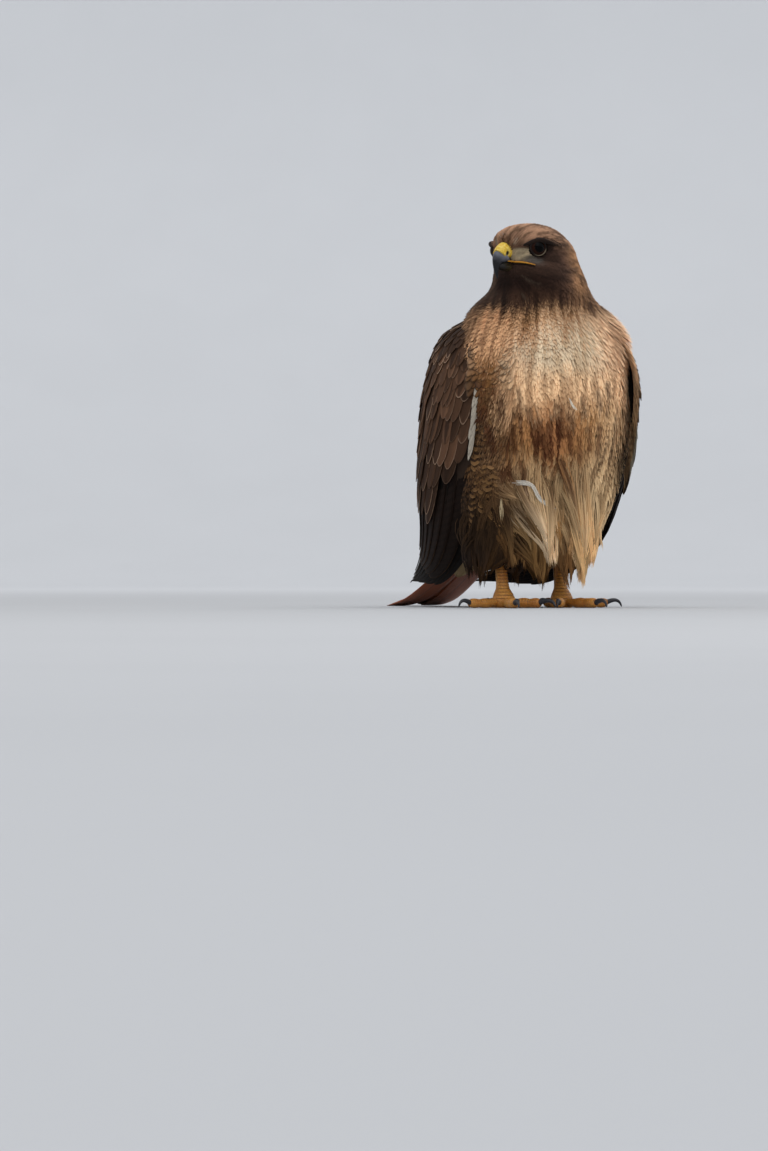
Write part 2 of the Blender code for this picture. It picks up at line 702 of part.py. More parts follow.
def make_wing_core(name, side, material):
    """The body of the folded wing: a slab under its feathers, thick beside the trunk"""
    lengths = [CORE_END * k / CORE_STEPS for k in range(CORE_STEPS + 1)]
    first, last = CORE_ACROSS
    breadths = [first + (last - first) * k / CORE_STEPS_ACROSS for k in range(CORE_STEPS_ACROSS + 1)]
    outer, inner = [], []
    for u in lengths:
        thick, sink = between(CORE_THICK, u), between(CORE_SINK, u)
        for v in breadths:
            place, out = sheet_place(side, u, v)
            outer.append(place - out * sink)
            inner.append(place - out * (sink + thick * (CORE_RIM + (1 - CORE_RIM) * sin(pi * v))))
    points = outer + inner
    wide, long, shift = len(breadths), len(lengths), len(outer)
    faces = []
    for i in range(long - 1):
        for j in range(wide - 1):
            a, d = i * wide + j, (i + 1) * wide + j
            b, c = a + 1, d + 1
            faces += [(a, b, c), (a, c, d)]
            faces += [(a + shift, c + shift, b + shift), (a + shift, d + shift, c + shift)]
    rim = list(range(wide))
    rim += [i * wide + wide - 1 for i in range(1, long)]
    rim += [(long - 1) * wide + j for j in range(wide - 2, -1, -1)]
    rim += [i * wide for i in range(long - 2, 0, -1)]
    for k, corner in enumerate(rim):
        after = rim[(k + 1) % len(rim)]
        faces.append((corner, after, after + shift, corner + shift))
    return add_solid(name, points, faces, material)


def make_wing_feathers(side, material):
    """The folded wing's feathers from the lowest tier to the highest"""
    feathers = []

    def add(root, tip, width, lifts, count):
        rows = []
        for k in range(count):
            share = k / (count - 1)
            along = root[0] + (tip[0] - root[0]) * share
            across = root[1] + (tip[1] - root[1]) * share
            half = width * between(VANE_PROFILE, share) / 2
            spread = half / sheet_breadth(along, across)
            lift = lifts[0] + (lifts[1] - lifts[0]) * share**LIFT_POWER
            row = []
            for edge in (-1, 0, 1):
                place, out = sheet_place(side, along, across + edge * spread)
                row.append((place + out * (lift - edge * half * VANE_ROLL), out))
            rows.append(row)
        feathers.append(add_vane(rows, VANE_THICK, material))

    start, roots, tips, width, lifts, raises, count = PRIMARIES
    for k, tip in enumerate(PRIMARY_TIPS):
        share = k / (len(PRIMARY_TIPS) - 1)
        root_across = roots[0] + (roots[1] - roots[0]) * share
        tip_across = tips[0] + (tips[1] - tips[0]) * share
        raised = (lifts[0] + raises[0] * k, lifts[1] + raises[1] * k)
        add((start, root_across), (tip, tip_across), width, raised, count)
    for number, spread, roots, tips, width, lifts, count in WING_TIERS.values():
        for k in range(number):
            share = k / (number - 1)
            across = spread[0] + (spread[1] - spread[0]) * share**CROWDING
            root = (roots[0] + (roots[1] - roots[0]) * share, across)
            tip = (tips[0] + (tips[1] - tips[0]) * share, across)
            add(root, tip, width, lifts, count)
    return feathers


def make_tail_core(material):
    """The fleshy root of the tail, with its coverts"""
    line = [(k / (len(TAIL_LINE) - 1), Vector(place)) for k, place in enumerate(TAIL_LINE)]
    rings = []
    for k in range(TAIL_CORE_STEPS + 1):
        share = TAIL_CORE_END * k / TAIL_CORE_STEPS
        place = between(line, share)
        half, thick = between(TAIL_CORE_WIDTHS, share), between(TAIL_CORE_THICK, share)
        rings.append([Vector((x * half, place.y, place.z - drop * thick)) for x, drop in TAIL_CORE_SLICE])
    return add_loft("tail", rings, material)


def make_tail_feathers(material):
    """Six pairs, the middle pair on top and the outermost flat on the floor at its tips"""
    line = [(k / (len(TAIL_LINE) - 1), Vector(place)) for k, place in enumerate(TAIL_LINE)]
    feathers = []
    for pair in range(TAIL_PAIRS):
        for side in (-1, 1):
            rows = []
            end = 1 - TAIL_STEP_SHORT * pair
            for k in range(TAIL_VANE_ROWS):
                share = k / (TAIL_VANE_ROWS - 1)
                place = between(line, TAIL_ROOT + (end - TAIL_ROOT) * share)
                spread = TAIL_ROOT_OUT + (1 - TAIL_ROOT_OUT) * share
                out = side * (TAIL_FIRST_OUT + TAIL_STEP_OUT * pair) * spread
                down = TAIL_STEP_DOWN * pair + TAIL_ROOT_DOWN * (1 - share) ** 2
                if side < 0:
                    down += TAIL_RIGHT_DOWN
                half = TAIL_VANE_WIDTH * between(TAIL_PROFILE, share) / 2
                row = []
                for edge in (-1, 0, 1):
                    fall = abs(edge) * half * TAIL_ARCH * (1 - share)
                    row.append((place + Vector((out + edge * half, 0, -down - fall)), Vector(TAIL_UP)))
                rows.append(row)
            vane = add_vane(rows, VANE_THICK, material)
            for corner in vane.data.vertices:
                corner.co.z = max(corner.co.z, 0.0)
            feathers.append(vane)
    return feathers


def settle(parts):
    """Hangs every part on an empty that takes the bounding box's bottom middle to the origin"""
    corners = [part.matrix_world @ corner.co for part in parts for corner in part.data.vertices]
    low = Vector([min(c[k] for c in corners) for k in range(3)])
    high = Vector([max(c[k] for c in corners) for k in range(3)])
    empty = bpy.data.objects.new("bird", None)
    bpy.context.scene.collection.objects.link(empty)
    for part in parts:
        part.parent = empty
    empty.location = (-(low.x + high.x) / 2, -(low.y + high.y) / 2, -low.z)
    size = (high - low) / MM
    print(f"bounding box {size.x:.1f} x {size.y:.1f} x {size.z:.1f} mm, moved by {empty.location / MM}")


def main():
    for thing in list(bpy.data.objects):
        bpy.data.objects.remove(thing)
    head_coat = make_material("head_plumage", "5a4438", 0.85)
    breast_coat = make_material("breast_plumage", "c0a47c", 0.85)
    thigh_coat = make_material("thigh_plumage", "b59a70", 0.85)
    wing_coat = make_material("wing_plumage", "4a382e", 0.7)
    tail_coat = make_material("tail_plumage", "a8623a", 0.7)
    horn = make_material("horn", "3a3b40", 0.35)
    scutes = make_material("leg_skin", "c0852a", 0.5)
    wax = make_material("cere_skin", "d6b526", 0.45)
    glass = make_material("eye_glass", "1c120c", 0.05)

    torso = make_trunk(breast_coat)
    neck = make_neck(head_coat)
    head = add_loft("head", [head_ring(*row) for row in HEAD_SLICES], head_coat)
    eyes = [make_eye(f"eye_{name}", side, glass) for name, side in (("left", 1), ("right", -1))]
    face = [make_bill("cere", CERE, wax), make_bill("bill_upper", BILL_UPPER, horn),
            make_bill("bill_lower", BILL_LOWER, horn)]
    trims = [make_lids(side, head_coat) for side in (-1, 1)]
    trims += [make_ridge(*table, side, head_coat) for table in (BROW, GAPE) for side in (-1, 1)]
    fuse(head, trims)
    carve(head, eyes + face)
    drill_nostrils(face[0])

    parts = [torso, neck, head, *eyes, *face]
    tail = make_tail_core(tail_coat)
    fuse(tail, make_tail_feathers(tail_coat))
    carve(tail, [torso])
    parts.append(tail)
    thighs = {}
    for name, side in (("left", 1), ("right", -1)):
        thighs[name] = make_thigh(f"thigh_{name}", side, thigh_coat)
        fuse(thighs[name], make_thigh_locks(name, side, thigh_coat))
        carve(thighs[name], [torso], WIDE_GAP)
    fuse(torso, make_belly_locks(breast_coat))
    carve(torso, thighs.values())
    for name, side in (("left", 1), ("right", -1)):
        shank = make_shank(f"tarsus_{name}", side, scutes)
        wing = make_wing_core(f"wing_{name}", side, wing_coat)
        fuse(wing, make_wing_feathers(side, wing_coat))
        carve(wing, [torso, thighs[name], neck])
        parts += [thighs[name], shank, wing]
        for number, (turn, length, radius, reach) in TOES[name].items():
            toe = make_toe(f"toe_{name}_{number}", side, turn, length, radius, scutes)
            carve(toe, [shank])
            claw = make_claw(f"claw_{name}_{number}", side, turn, length, radius, reach, horn)
            parts += [toe, claw]
    settle(parts)


main()
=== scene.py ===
# %% [markdown]
# # A red tailed hawk, feather by feather
# The solids come first: trunk, head, wings, tail, legs and claws stand in one frame, in metres, with
# the soles on the floor. They could be painted and left, but a bird is read by its coat. So this
# script lays skin just under the solids' surface and then feathers over it, each one a small mesh
# that follows the lie of the coat. Every measure below is in millimetres.

import bpy
import numpy as np
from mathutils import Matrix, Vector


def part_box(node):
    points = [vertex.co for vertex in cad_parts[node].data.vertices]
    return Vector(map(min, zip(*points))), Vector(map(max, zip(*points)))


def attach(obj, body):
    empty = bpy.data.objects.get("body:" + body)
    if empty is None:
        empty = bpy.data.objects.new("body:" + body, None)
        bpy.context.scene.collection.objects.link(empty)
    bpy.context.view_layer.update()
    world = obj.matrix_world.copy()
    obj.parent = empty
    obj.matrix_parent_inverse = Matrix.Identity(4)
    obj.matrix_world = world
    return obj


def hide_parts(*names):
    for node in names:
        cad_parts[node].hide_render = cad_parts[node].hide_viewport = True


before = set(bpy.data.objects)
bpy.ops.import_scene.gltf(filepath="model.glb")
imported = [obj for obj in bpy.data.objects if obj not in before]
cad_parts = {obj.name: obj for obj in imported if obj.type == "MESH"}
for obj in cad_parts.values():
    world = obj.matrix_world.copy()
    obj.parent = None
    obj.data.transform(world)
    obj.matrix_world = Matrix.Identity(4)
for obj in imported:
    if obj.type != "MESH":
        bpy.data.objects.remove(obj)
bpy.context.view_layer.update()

# %% [markdown]
# Measures are easiest to read in the bird's own frame, where it faces -Y and stands on z = 0 with its
# feet beside the origin. The solids were moved as a whole after they were built, so the left eye,
# which is known in both frames, says how far. The head has a frame of its own: ahead along the bill,
# aside to its left, and up.

# %% The bird's frame and the head's
HEAD_MIDDLE = np.array((-14.7, -26.3, 0.0))
HEAD_YAW = np.radians(67)  # turned to the bird's right
FORWARD = np.array((-np.sin(HEAD_YAW), -np.cos(HEAD_YAW), 0.0))
LEFT = np.array((np.cos(HEAD_YAW), -np.sin(HEAD_YAW), 0.0))
UP = np.array((0.0, 0.0, 1.0))
EYE_AT = (23.5, 23.8, 342.5)
LOOK_FROM, LOOK_RIGHT = np.array((-0.454, -0.891, 0.0)), np.array((0.891, -0.454, 0.0))


def in_head(ahead, aside, height):
    """Places in the bird's frame: the head's middle plus forward times ahead, left times aside and up"""
    ahead, aside, height = np.broadcast_arrays(ahead, aside, height)
    return HEAD_MIDDLE + ahead[..., None] * FORWARD + aside[..., None] * LEFT + height[..., None] * UP


def to_head(places):
    """The same the other way: dot products with forward and left, and the height as it is"""
    away = places - HEAD_MIDDLE
    return away @ FORWARD, away @ LEFT, places[..., 2]


eye_box = np.array(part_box("eye_left")) * 1000
SHIFT = eye_box.mean(axis=0) - in_head(*EYE_AT)
print("the solids were moved by", np.round(SHIFT, 2), "mm")

# %% [markdown]
# Smooth shapes come from short tables. A Hermite curve through the rows takes its slope at a row from
# the rows on either side, so the curve is a weighted sum of the rows, and the weights can be worked
# out for thousands of places at once.


# %% Smooth curves through short tables
def weights(keys, places):
    """How much each row counts at each place: the four Hermite polynomials of the share t between two
    rows, 2t3 - 3t2 + 1 and 3t2 - 2t3 for the rows, t3 - 2t2 + t and t3 - t2 for their slopes"""
    keys = np.asarray(keys, float)
    count = len(keys)
    rows = np.eye(count)
    low, high = np.maximum(np.arange(count) - 1, 0), np.minimum(np.arange(count) + 1, count - 1)
    slopes = (rows[high] - rows[low]) / (keys[high] - keys[low])[:, None]
    places = np.clip(places, keys[0], keys[-1])
    k = np.clip(np.searchsorted(keys, places, side="right") - 1, 0, count - 2)
    span = (keys[k + 1] - keys[k])[..., None]
    t = (places - keys[k])[..., None] / span
    return (rows[k] * (2 * t**3 - 3 * t**2 + 1) + rows[k + 1] * (3 * t**2 - 2 * t**3)
            + slopes[k] * span * (t**3 - 2 * t**2 + t) + slopes[k + 1] * span * (t**3 - t**2))


def smooth(table, places):
    """Columns of a table at the places, its first column being the key"""
    table = np.asarray(table, float)
    values = weights(table[:, 0], np.asarray(places, float)) @ table[:, 1:]
    return np.moveaxis(values, -1, 0)


def ease(value, start, end):
    """0 up to start and 1 from end on, with 3t2 - 2t3 between"""
    t = np.clip((value - start) / (end - start), 0, 1)
    return t * t * (3 - 2 * t)


def unit(vectors):
    return vectors / np.maximum(np.linalg.norm(vectors, axis=-1, keepdims=True), 1e-9)


# %% [markdown]
# The flesh is a stack of level ovals: trunk, neck and head in one, and the two feathered thighs. Rather
# than join three meshes, each place in space gets a ratio that is 1 on an oval's rim, and the nearest
# of the three wins, with a soft minimum where thigh and belly meet. Feathers can then be laid on this
# surface anywhere, by stepping along it and pulling each step back to where the depth is zero.

# %% The flesh as a depth below or above its surface
TRUNK = (  # height, middle y, half width, reach to the front, reach to the back
    (98, 12, 68, 62, 57),
    (130, 6, 79, 73, 70),
    (165, 1, 86, 81, 80),
    (207, -3, 88, 83, 86),
    (240, -5, 84, 77, 82),
    (262, -6, 76, 68, 72),
    (284, -8, 63, 58, 58),
    (312, -16, 44, 48, 50),
)
HEAD = (  # height, step ahead, half width, reach to the front, reach to the back
    (290, -8, 50, 50, 52),
    (312, -8, 44, 48, 50),
    (319, -8, 42, 47, 48),
    (327, -5, 39, 46, 47),
    (335, -1, 37.5, 44, 47),
)
HEAD_STEPS = ((312, -8), (327, -5), (343, 2), (355, 7), (366, 7))
THIGH = (  # height, x, y, half width, half depth
    (44, 32.5, 7, 30, 34),
    (80, 42, 1, 31, 36),
    (104, 45, -3, 35, 43),
    (132, 46, -6, 35, 45),
)
BELLY_END, CROWN_START, CROWN_TOP = 98, 335, 366.3
THIGH_END, THIGH_TOP = 80, 132


def ring_ratio(x, y, side, front, back, forward, power=2.0):
    """1 on the rim of a level oval: the p-th root of the sum of (ahead / reach)^p and (aside / half width)^p"""
    ahead, aside = x * forward[0] + y * forward[1], x * forward[1] - y * forward[0]
    p = np.where(ahead > 0, power, 2.0)
    reach = np.where(ahead > 0, front, back)
    return ((np.abs(ahead) / reach) ** p + (np.abs(aside) / side) ** p + 1e-9) ** (1 / p)


def body_parts(z):
    """Middle and sizes of the trunk's oval and of the head's at each height, and the share of the head"""
    y, side, front, back = smooth(TRUNK, np.clip(z, BELLY_END, 312))
    step = smooth(HEAD_STEPS, z)[0]
    _, head_side, head_front, head_back = smooth(HEAD, np.clip(z, 290, CROWN_START))
    return (y, side, front, back), (step, head_side, head_front, head_back), ease(z, 278, 318)


def body_depth(places):
    """(ratio - 1) times the half width, with elliptical ends below the belly and over the crown"""
    x, y, z = np.moveaxis(places, -1, 0)
    (middle, side, front, back), (step, head_side, head_front, head_back), share = body_parts(z)
    low = ring_ratio(x, y - middle, side, front, back, (0, -1))
    offset_x = x - HEAD_MIDDLE[0] - FORWARD[0] * step
    offset_y = y - HEAD_MIDDLE[1] - FORWARD[1] * step
    high = ring_ratio(offset_x, offset_y, head_side, head_front, head_back, FORWARD, 1.75)
    ratio = low * (1 - share) + high * share
    ratio = np.hypot(ratio, np.maximum(BELLY_END - z, 0) / 46)
    over = np.maximum(z - CROWN_START, 0) / (CROWN_TOP - CROWN_START)
    ratio = (ratio**2.25 + over**2.25) ** (1 / 2.25)
    return (ratio - 1) * (side * (1 - share) + head_side * share)


def thigh_depth(places, side):
    """The same for one thigh"""
    x, y, z = np.moveaxis(places, -1, 0)
    middle_x, middle_y, half, deep = smooth(THIGH, np.clip(z, 44, THIGH_TOP))
    ratio = np.hypot((x - side * middle_x) / half, (y - middle_y) / deep)
    ratio = np.hypot(ratio, np.maximum(THIGH_END - z, 0) / 40)
    ratio = np.hypot(ratio, np.maximum(z - THIGH_TOP, 0) / 36)
    return (ratio - 1) * half


def soft_minimum(a, b, width):
    """The smaller of two, rounded where they differ by less than width"""
    h = np.clip(0.5 + 0.5 * (b - a) / width, 0, 1)
    return b * (1 - h) + a * h - width * h * (1 - h)


def flesh_depth(places):
    """Roughly how many millimetres a place stands off the flesh, negative inside"""
    thighs = np.minimum(thigh_depth(places, 1), thigh_depth(places, -1))
    return soft_minimum(body_depth(places), thighs, 9.0)


def slope_of(depth, places, step=0.4):
    """The gradient of a depth, from central differences along x, y and z"""
    parts = []
    for axis in np.eye(3):
        parts.append(depth(places + axis * step) - depth(places - axis * step))
    return np.stack(parts, axis=-1) / (2 * step)


def settle(places, level=0.0, rounds=3):
    """Pulls places to where the depth is level, by Newton's step (depth - level) / slope, and gives the
    way out there"""
    for _ in range(rounds):
        slope = slope_of(flesh_depth, places)
        size = np.sum(slope * slope, axis=-1, keepdims=True)
        places = places - slope * ((flesh_depth(places) - level)[..., None] / np.maximum(size, 0.05))
    return places, unit(slope)


print("depth at the breast, the crown and in the air",
      np.round(flesh_depth(np.array([(0, -80, 207), (-20, -28, 366), (0, -180, 207)])), 1))
# %% [markdown]
# Each piece goes into the scene as arrays: corners, four-sided faces, and for every corner the values
# that its material reads. A piece can also carry a map called OFBake, in which every feather has a small
# patch of its own.


# %% From arrays to a piece
def hex_colour(code):
    """Linear light from an sRGB code: c / 12.92 when small, otherwise ((c + 0.055) / 1.055) ^ 2.4"""
    parts = np.array([int(code[k:k + 2], 16) for k in (0, 2, 4)]) / 255
    return np.where(parts <= 0.04045, parts / 12.92, ((parts + 0.055) / 1.055) ** 2.4)


def add_piece(name, corners, faces, material, replaces=(), values=None, bake_map=None):
    """A mesh from corners in millimetres and faces of equal size, with values on its corners"""
    mesh = bpy.data.meshes.new(name)
    corners, faces = np.asarray(corners, float).reshape(-1, 3), np.asarray(faces)
    sides = faces.shape[1]
    mesh.vertices.add(len(corners))
    mesh.vertices.foreach_set("co", ((corners + SHIFT) * 0.001).ravel())
    mesh.loops.add(faces.size)
    mesh.loops.foreach_set("vertex_index", faces.ravel().astype(np.int32))
    mesh.polygons.add(len(faces))
    mesh.polygons.foreach_set("loop_start", np.arange(0, faces.size, sides, dtype=np.int32))
    mesh.polygons.foreach_set("use_smooth", np.ones(len(faces), bool))
    for key, value in (values or {}).items():
        flat = np.asarray(value, float).reshape(len(corners), -1)
        kind, field = (("FLOAT", "value") if flat.shape[1] == 1 else ("FLOAT_VECTOR", "vector"))
        mesh.attributes.new(key, kind, "POINT").data.foreach_set(field, flat.ravel())
    if bake_map is not None:
        layer = mesh.uv_layers.new(name="OFBake")
        layer.data.foreach_set("uv", np.asarray(bake_map).reshape(-1, 2)[faces.ravel()].ravel())
    mesh.update(calc_edges=True)
    mesh.validate()
    mesh.materials.append(material)
    piece = bpy.data.objects.new(name, mesh)
    bpy.context.scene.collection.objects.link(piece)
    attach(piece, "root")
    if replaces:
        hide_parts(*replaces)
    return piece


def grid_faces(rows, columns, closed=False, count=1):
    """Four-sided faces of a grid of corners that face out where rows run away from the root and columns
    to the right of that; closed joins the last column to the first"""
    first = np.arange(rows * columns).reshape(rows, columns)
    if closed:
        first = np.concatenate([first, first[:, :1]], axis=1)
    faces = np.stack([first[:-1, :-1], first[1:, :-1], first[1:, 1:], first[:-1, 1:]], axis=-1).reshape(-1, 4)
    return (faces[None] + np.arange(count)[:, None, None] * rows * columns).reshape(-1, 4)


# %% [markdown]
# Materials are node trees. One small function adds a node with its settings and its links, so a tree
# reads as a list of steps.


# %% One helper for nodes
def add_node(tree, kind, settings=None, **inputs):
    """A node of a kind, with settings for the node and values or sockets for its inputs"""
    node = tree.nodes.new("ShaderNode" + kind)
    for key, value in (settings or {}).items():
        setattr(node, key, value)
    for key, value in inputs.items():
        socket = node.inputs[int(key[1:])] if key[0] == "i" and key[1:].isdigit() else node.inputs[key.replace("_", " ")]
        if isinstance(value, bpy.types.NodeSocket):
            tree.links.new(value, socket)
        else:
            socket.default_value = value
    return node


def new_material(name, **shader_inputs):
    """An empty material with its shader, whose constant values stand on the shader's own sockets"""
    material = bpy.data.materials.new(name)
    material.use_nodes = True
    tree = material.node_tree
    shader = tree.nodes["Principled BSDF"]
    for key, value in shader_inputs.items():
        if key == "Base_Color":
            value = (*hex_colour(value), 1)
        shader.inputs[key.replace("_", " ")].default_value = value
    return material, tree, shader


def math(tree, operation, a, b=0.0, c=0.0):
    return add_node(tree, "Math", {"operation": operation}, i0=a, i1=b, i2=c).outputs[0]


def ramp(tree, value, low, high, start=0.0, end=1.0):
    """Smoothstep of a value between low and high, sent to start and end"""
    node = add_node(tree, "MapRange", {"interpolation_type": "SMOOTHSTEP"},
                    i0=value, i1=low, i2=high, i3=start, i4=end)
    return node.outputs[0]


def mix(tree, share, a, b):
    """Colour a where share is 0 and b where it is 1"""
    return add_node(tree, "Mix", {"data_type": "RGBA"}, i0=share, i6=a, i7=b).outputs[2]


def colour_value(code):
    return (*hex_colour(code), 1)


# %% [markdown]
# Feather keratin is matt to silky: barbs scatter light, and the shaft catches a line of it. Each
# feather carries its own colours as values on its corners: the ground, the mark that is streaked or
# barred across it, and the rim. The material turns the feather's own measures into masks. A real barb
# is 0.1 mm wide, far too fine to show, so the fine lines are drawn 1.4 mm apart.

# %% Plumage
BARB_PITCH = 1.4


def attribute(tree, name):
    return add_node(tree, "Attribute", {"attribute_name": name}).outputs["Vector"]


def make_plumage(name, roughness, bar_pitch, bump, sheen, gloss):
    """Feather keratin, soft or firm"""
    material, tree, shader = new_material(name, Roughness=roughness, Sheen_Weight=sheen, Sheen_Roughness=0.5,
                                          Specular_IOR_Level=gloss)
    ground, mark, rim = [attribute(tree, key) for key in ("ground", "mark", "rim")]
    along, across, offset = add_node(tree, "SeparateXYZ", i0=attribute(tree, "share")).outputs
    along_mm, across_mm, rim_mm = add_node(tree, "SeparateXYZ", i0=attribute(tree, "span")).outputs
    streak, bars, edge = add_node(tree, "SeparateXYZ", i0=attribute(tree, "traits")).outputs
    wide = math(tree, "ABSOLUTE", across)
    wander = add_node(tree, "TexNoise", {"noise_dimensions": "3D"}, i0=add_node(tree, "TexCoord").outputs["Object"],
                      Scale=220.0, Detail=2.0).outputs[0]
    wobble = math(tree, "MULTIPLY_ADD", wander, 0.5, -0.25)
    # a drop along the shaft, widest two thirds of the way out
    drop = math(tree, "MULTIPLY", math(tree, "SINE", math(tree, "MULTIPLY", along, 2.7)), 0.62)
    drop = math(tree, "ADD", drop, wobble)
    streaked = ramp(tree, math(tree, "SUBTRACT", drop, wide), -0.25, 0.25)
    # chevrons across the feather, from a start that the feather gives
    phase = math(tree, "ADD", math(tree, "MULTIPLY_ADD", math(tree, "ABSOLUTE", across_mm), 0.4, along_mm), offset)
    wave = math(tree, "SINE", math(tree, "MULTIPLY", phase, 2 * np.pi / bar_pitch))
    barred = ramp(tree, math(tree, "MULTIPLY_ADD", wobble, 1.6, wave), -0.1, 0.7)
    marked = math(tree, "MAXIMUM", math(tree, "MULTIPLY", streaked, streak), math(tree, "MULTIPLY", barred, bars))
    coat = mix(tree, marked, ground, mark)
    near_tip = ramp(tree, math(tree, "ADD", along, wobble), 0.62, 0.92, 0.06, 1.0)
    at_rim = ramp(tree, math(tree, "MULTIPLY_ADD", wobble, 2.4, rim_mm), 0.3, 1.4, 1.0, 0.0)
    coat = mix(tree, math(tree, "MULTIPLY", math(tree, "MULTIPLY", at_rim, near_tip), edge), coat, rim)
    # barbs slant out and away from the shaft, and the root of a feather is duller than its tip
    slant = math(tree, "MULTIPLY_ADD", math(tree, "ABSOLUTE", across_mm), -0.9, along_mm)
    barb = math(tree, "SINE", math(tree, "MULTIPLY", slant, 2 * np.pi / BARB_PITCH))
    barb = math(tree, "MULTIPLY_ADD", barb, 0.5, math(tree, "MULTIPLY", wander, 1.2))
    light = math(tree, "MULTIPLY", math(tree, "MULTIPLY_ADD", barb, 0.07, 0.93), ramp(tree, along, 0.0, 0.5, 0.8, 1.0))
    coat = add_node(tree, "VectorMath", {"operation": "SCALE"}, i0=coat, Scale=light).outputs[0]
    tree.links.new(coat, shader.inputs["Base Color"])
    height = add_node(tree, "Bump", Strength=bump, Distance=0.0003, Height=barb).outputs[0]
    tree.links.new(height, shader.inputs["Normal"])
    return material


SOFT_PLUME = make_plumage("contour_feather_keratin", 0.9, 6.4, 0.2, 0.06, 0.1)
FIRM_PLUME = make_plumage("flight_feather_keratin", 0.72, 9.0, 0.3, 0.0, 0.08)

# %% [markdown]
# Where the feathers grow: a golden-ratio lattice puts roots at even spacing without visible rows. The
# lattice runs over a grid of places, and both its counts are stretched by the wanted density, so the
# roots crowd on the face and spread out on the belly.

# %% Roots spread by the golden ratio
GOLDEN = (5**0.5 - 1) / 2


def body_grid(rows=260, columns=180):
    """Places on trunk, neck and head: angle by columns, and by rows the height, with quarter circles
    of heights at both ends"""
    turn = np.linspace(0, 2 * np.pi, columns + 1)
    low, high = np.linspace(-1.5, 0, 50)[:-1], np.linspace(0, 1.53, 60)[1:]
    z = np.concatenate([BELLY_END + 46 * np.sin(low), np.linspace(BELLY_END, CROWN_START, rows - 110),
                        CROWN_START + (CROWN_TOP - CROWN_START) * np.sin(high)])
    inset = np.concatenate([np.cos(low), np.ones(rows - 110), np.cos(high)])
    (y, *_), (step, *_), share = body_parts(z)
    middle = np.stack([(HEAD_MIDDLE[0] + FORWARD[0] * step) * share,
                       y * (1 - share) + (HEAD_MIDDLE[1] + FORWARD[1] * step) * share, z], axis=-1)
    out = np.stack([np.sin(turn), -np.cos(turn), 0 * turn], axis=-1)
    reach = np.full((len(z), columns + 1), 60.0)
    for _ in range(14):
        level = np.clip(z, BELLY_END, CROWN_START)[:, None, None] * UP
        places = np.stack([middle[:, None, 0] + out[None, :, 0] * reach, middle[:, None, 1] + out[None, :, 1] * reach,
                           np.broadcast_to(level[..., 2], reach.shape)], axis=-1)
        reach = np.clip(reach - body_depth(places) * 0.8, 15, 120)
    return middle[:, None] + out[None] * (reach * inset[:, None])[..., None]


def thigh_grid(side, rows=120, columns=90):
    """The same for one thigh"""
    turn = np.linspace(0, 2 * np.pi, columns + 1)
    low, high = np.linspace(-1.45, 0, 40)[:-1], np.linspace(0, 1.3, 20)[1:]
    z = np.concatenate([THIGH_END + 40 * np.sin(low), np.linspace(THIGH_END, THIGH_TOP, rows - 60),
                        THIGH_TOP + 36 * np.sin(high)])
    inset = np.concatenate([np.cos(low), np.ones(rows - 60), np.cos(high)])[:, None]
    x, y, half, deep = [part[:, None] for part in smooth(THIGH, np.clip(z, 44, THIGH_TOP))]
    return np.stack(np.broadcast_arrays(side * (x + half * inset * np.sin(turn)), y - deep * inset * np.cos(turn),
                                        z[:, None]), axis=-1)


def scatter(grid, spacing):
    """Roots over a grid of places: the k-th takes the height where the count of feathers reaches k, and
    the angle where it reaches the k-th multiple of the golden ratio; also gives both shares"""
    down, over = np.diff(grid[:, :-1], axis=0), np.diff(grid[:-1], axis=1)
    area = np.linalg.norm(np.cross(down, over), axis=-1)
    middle = (grid[:-1, :-1] + grid[1:, 1:]) / 2
    count = area / (0.87 * spacing(middle) ** 2)
    by_row = count.sum(axis=1)
    total = int(by_row.sum())
    k = np.arange(total) + 0.5
    ends = np.concatenate([[0], np.cumsum(by_row)])
    row = np.clip(np.searchsorted(ends, k, side="right") - 1, 0, len(by_row) - 1)
    row_share = (k - ends[row]) / by_row[row]
    flat = np.cumsum(count / by_row[:, None], axis=1)
    flat[:, -1] = 1.0
    turn = (k * GOLDEN) % 1
    steps = (flat + np.arange(len(by_row))[:, None]).ravel()
    found = np.searchsorted(steps, row + turn, side="right")
    column = np.clip(found - row * count.shape[1], 0, count.shape[1] - 1)
    before = np.where(column > 0, flat[row, np.maximum(column - 1, 0)], 0)
    column_share = np.clip((turn - before) / np.maximum(flat[row, column] - before, 1e-9), 0, 1)
    a, b = row_share[:, None], column_share[:, None]
    places = ((grid[row, column] * (1 - a) + grid[row + 1, column] * a) * (1 - b)
              + (grid[row, column + 1] * (1 - a) + grid[row + 1, column + 1] * a) * b)
    return places, np.stack([(column + column_share) / count.shape[1], (row + row_share) / len(by_row)], axis=-1)


BODY_GRID = body_grid()
print("body from z =", round(BODY_GRID[0, 0, 2], 1), "to", round(BODY_GRID[-1, 0, 2], 1))

# %% [markdown]
# The lie of the coat: on the face feathers run away from the bill, and further back they turn down,
# over neck and breast to the belly, where they sweep back towards the tail.

# %% The lie of the coat and the lines along it
BILL_ROOT = in_head(40.0, 0.0, 334.0)


def lie(places, out):
    """Direction of growth: away from the bill near it, then down and a little back, made tangent"""
    away = places - BILL_ROOT
    far = np.linalg.norm(away, axis=-1, keepdims=True)
    down = np.broadcast_to(-UP, places.shape) - FORWARD * 0.35 * ease(places[..., 2:], 300, 335)
    back = ease(-places[..., 2:], -120, -50) * np.array((0.0, 0.6, 0.0))
    way = away / far * (1 - ease(far, 26, 76)) + (down + back) * ease(far, 14, 70)
    way = way - out * np.sum(way * out, axis=-1, keepdims=True)
    return unit(way)


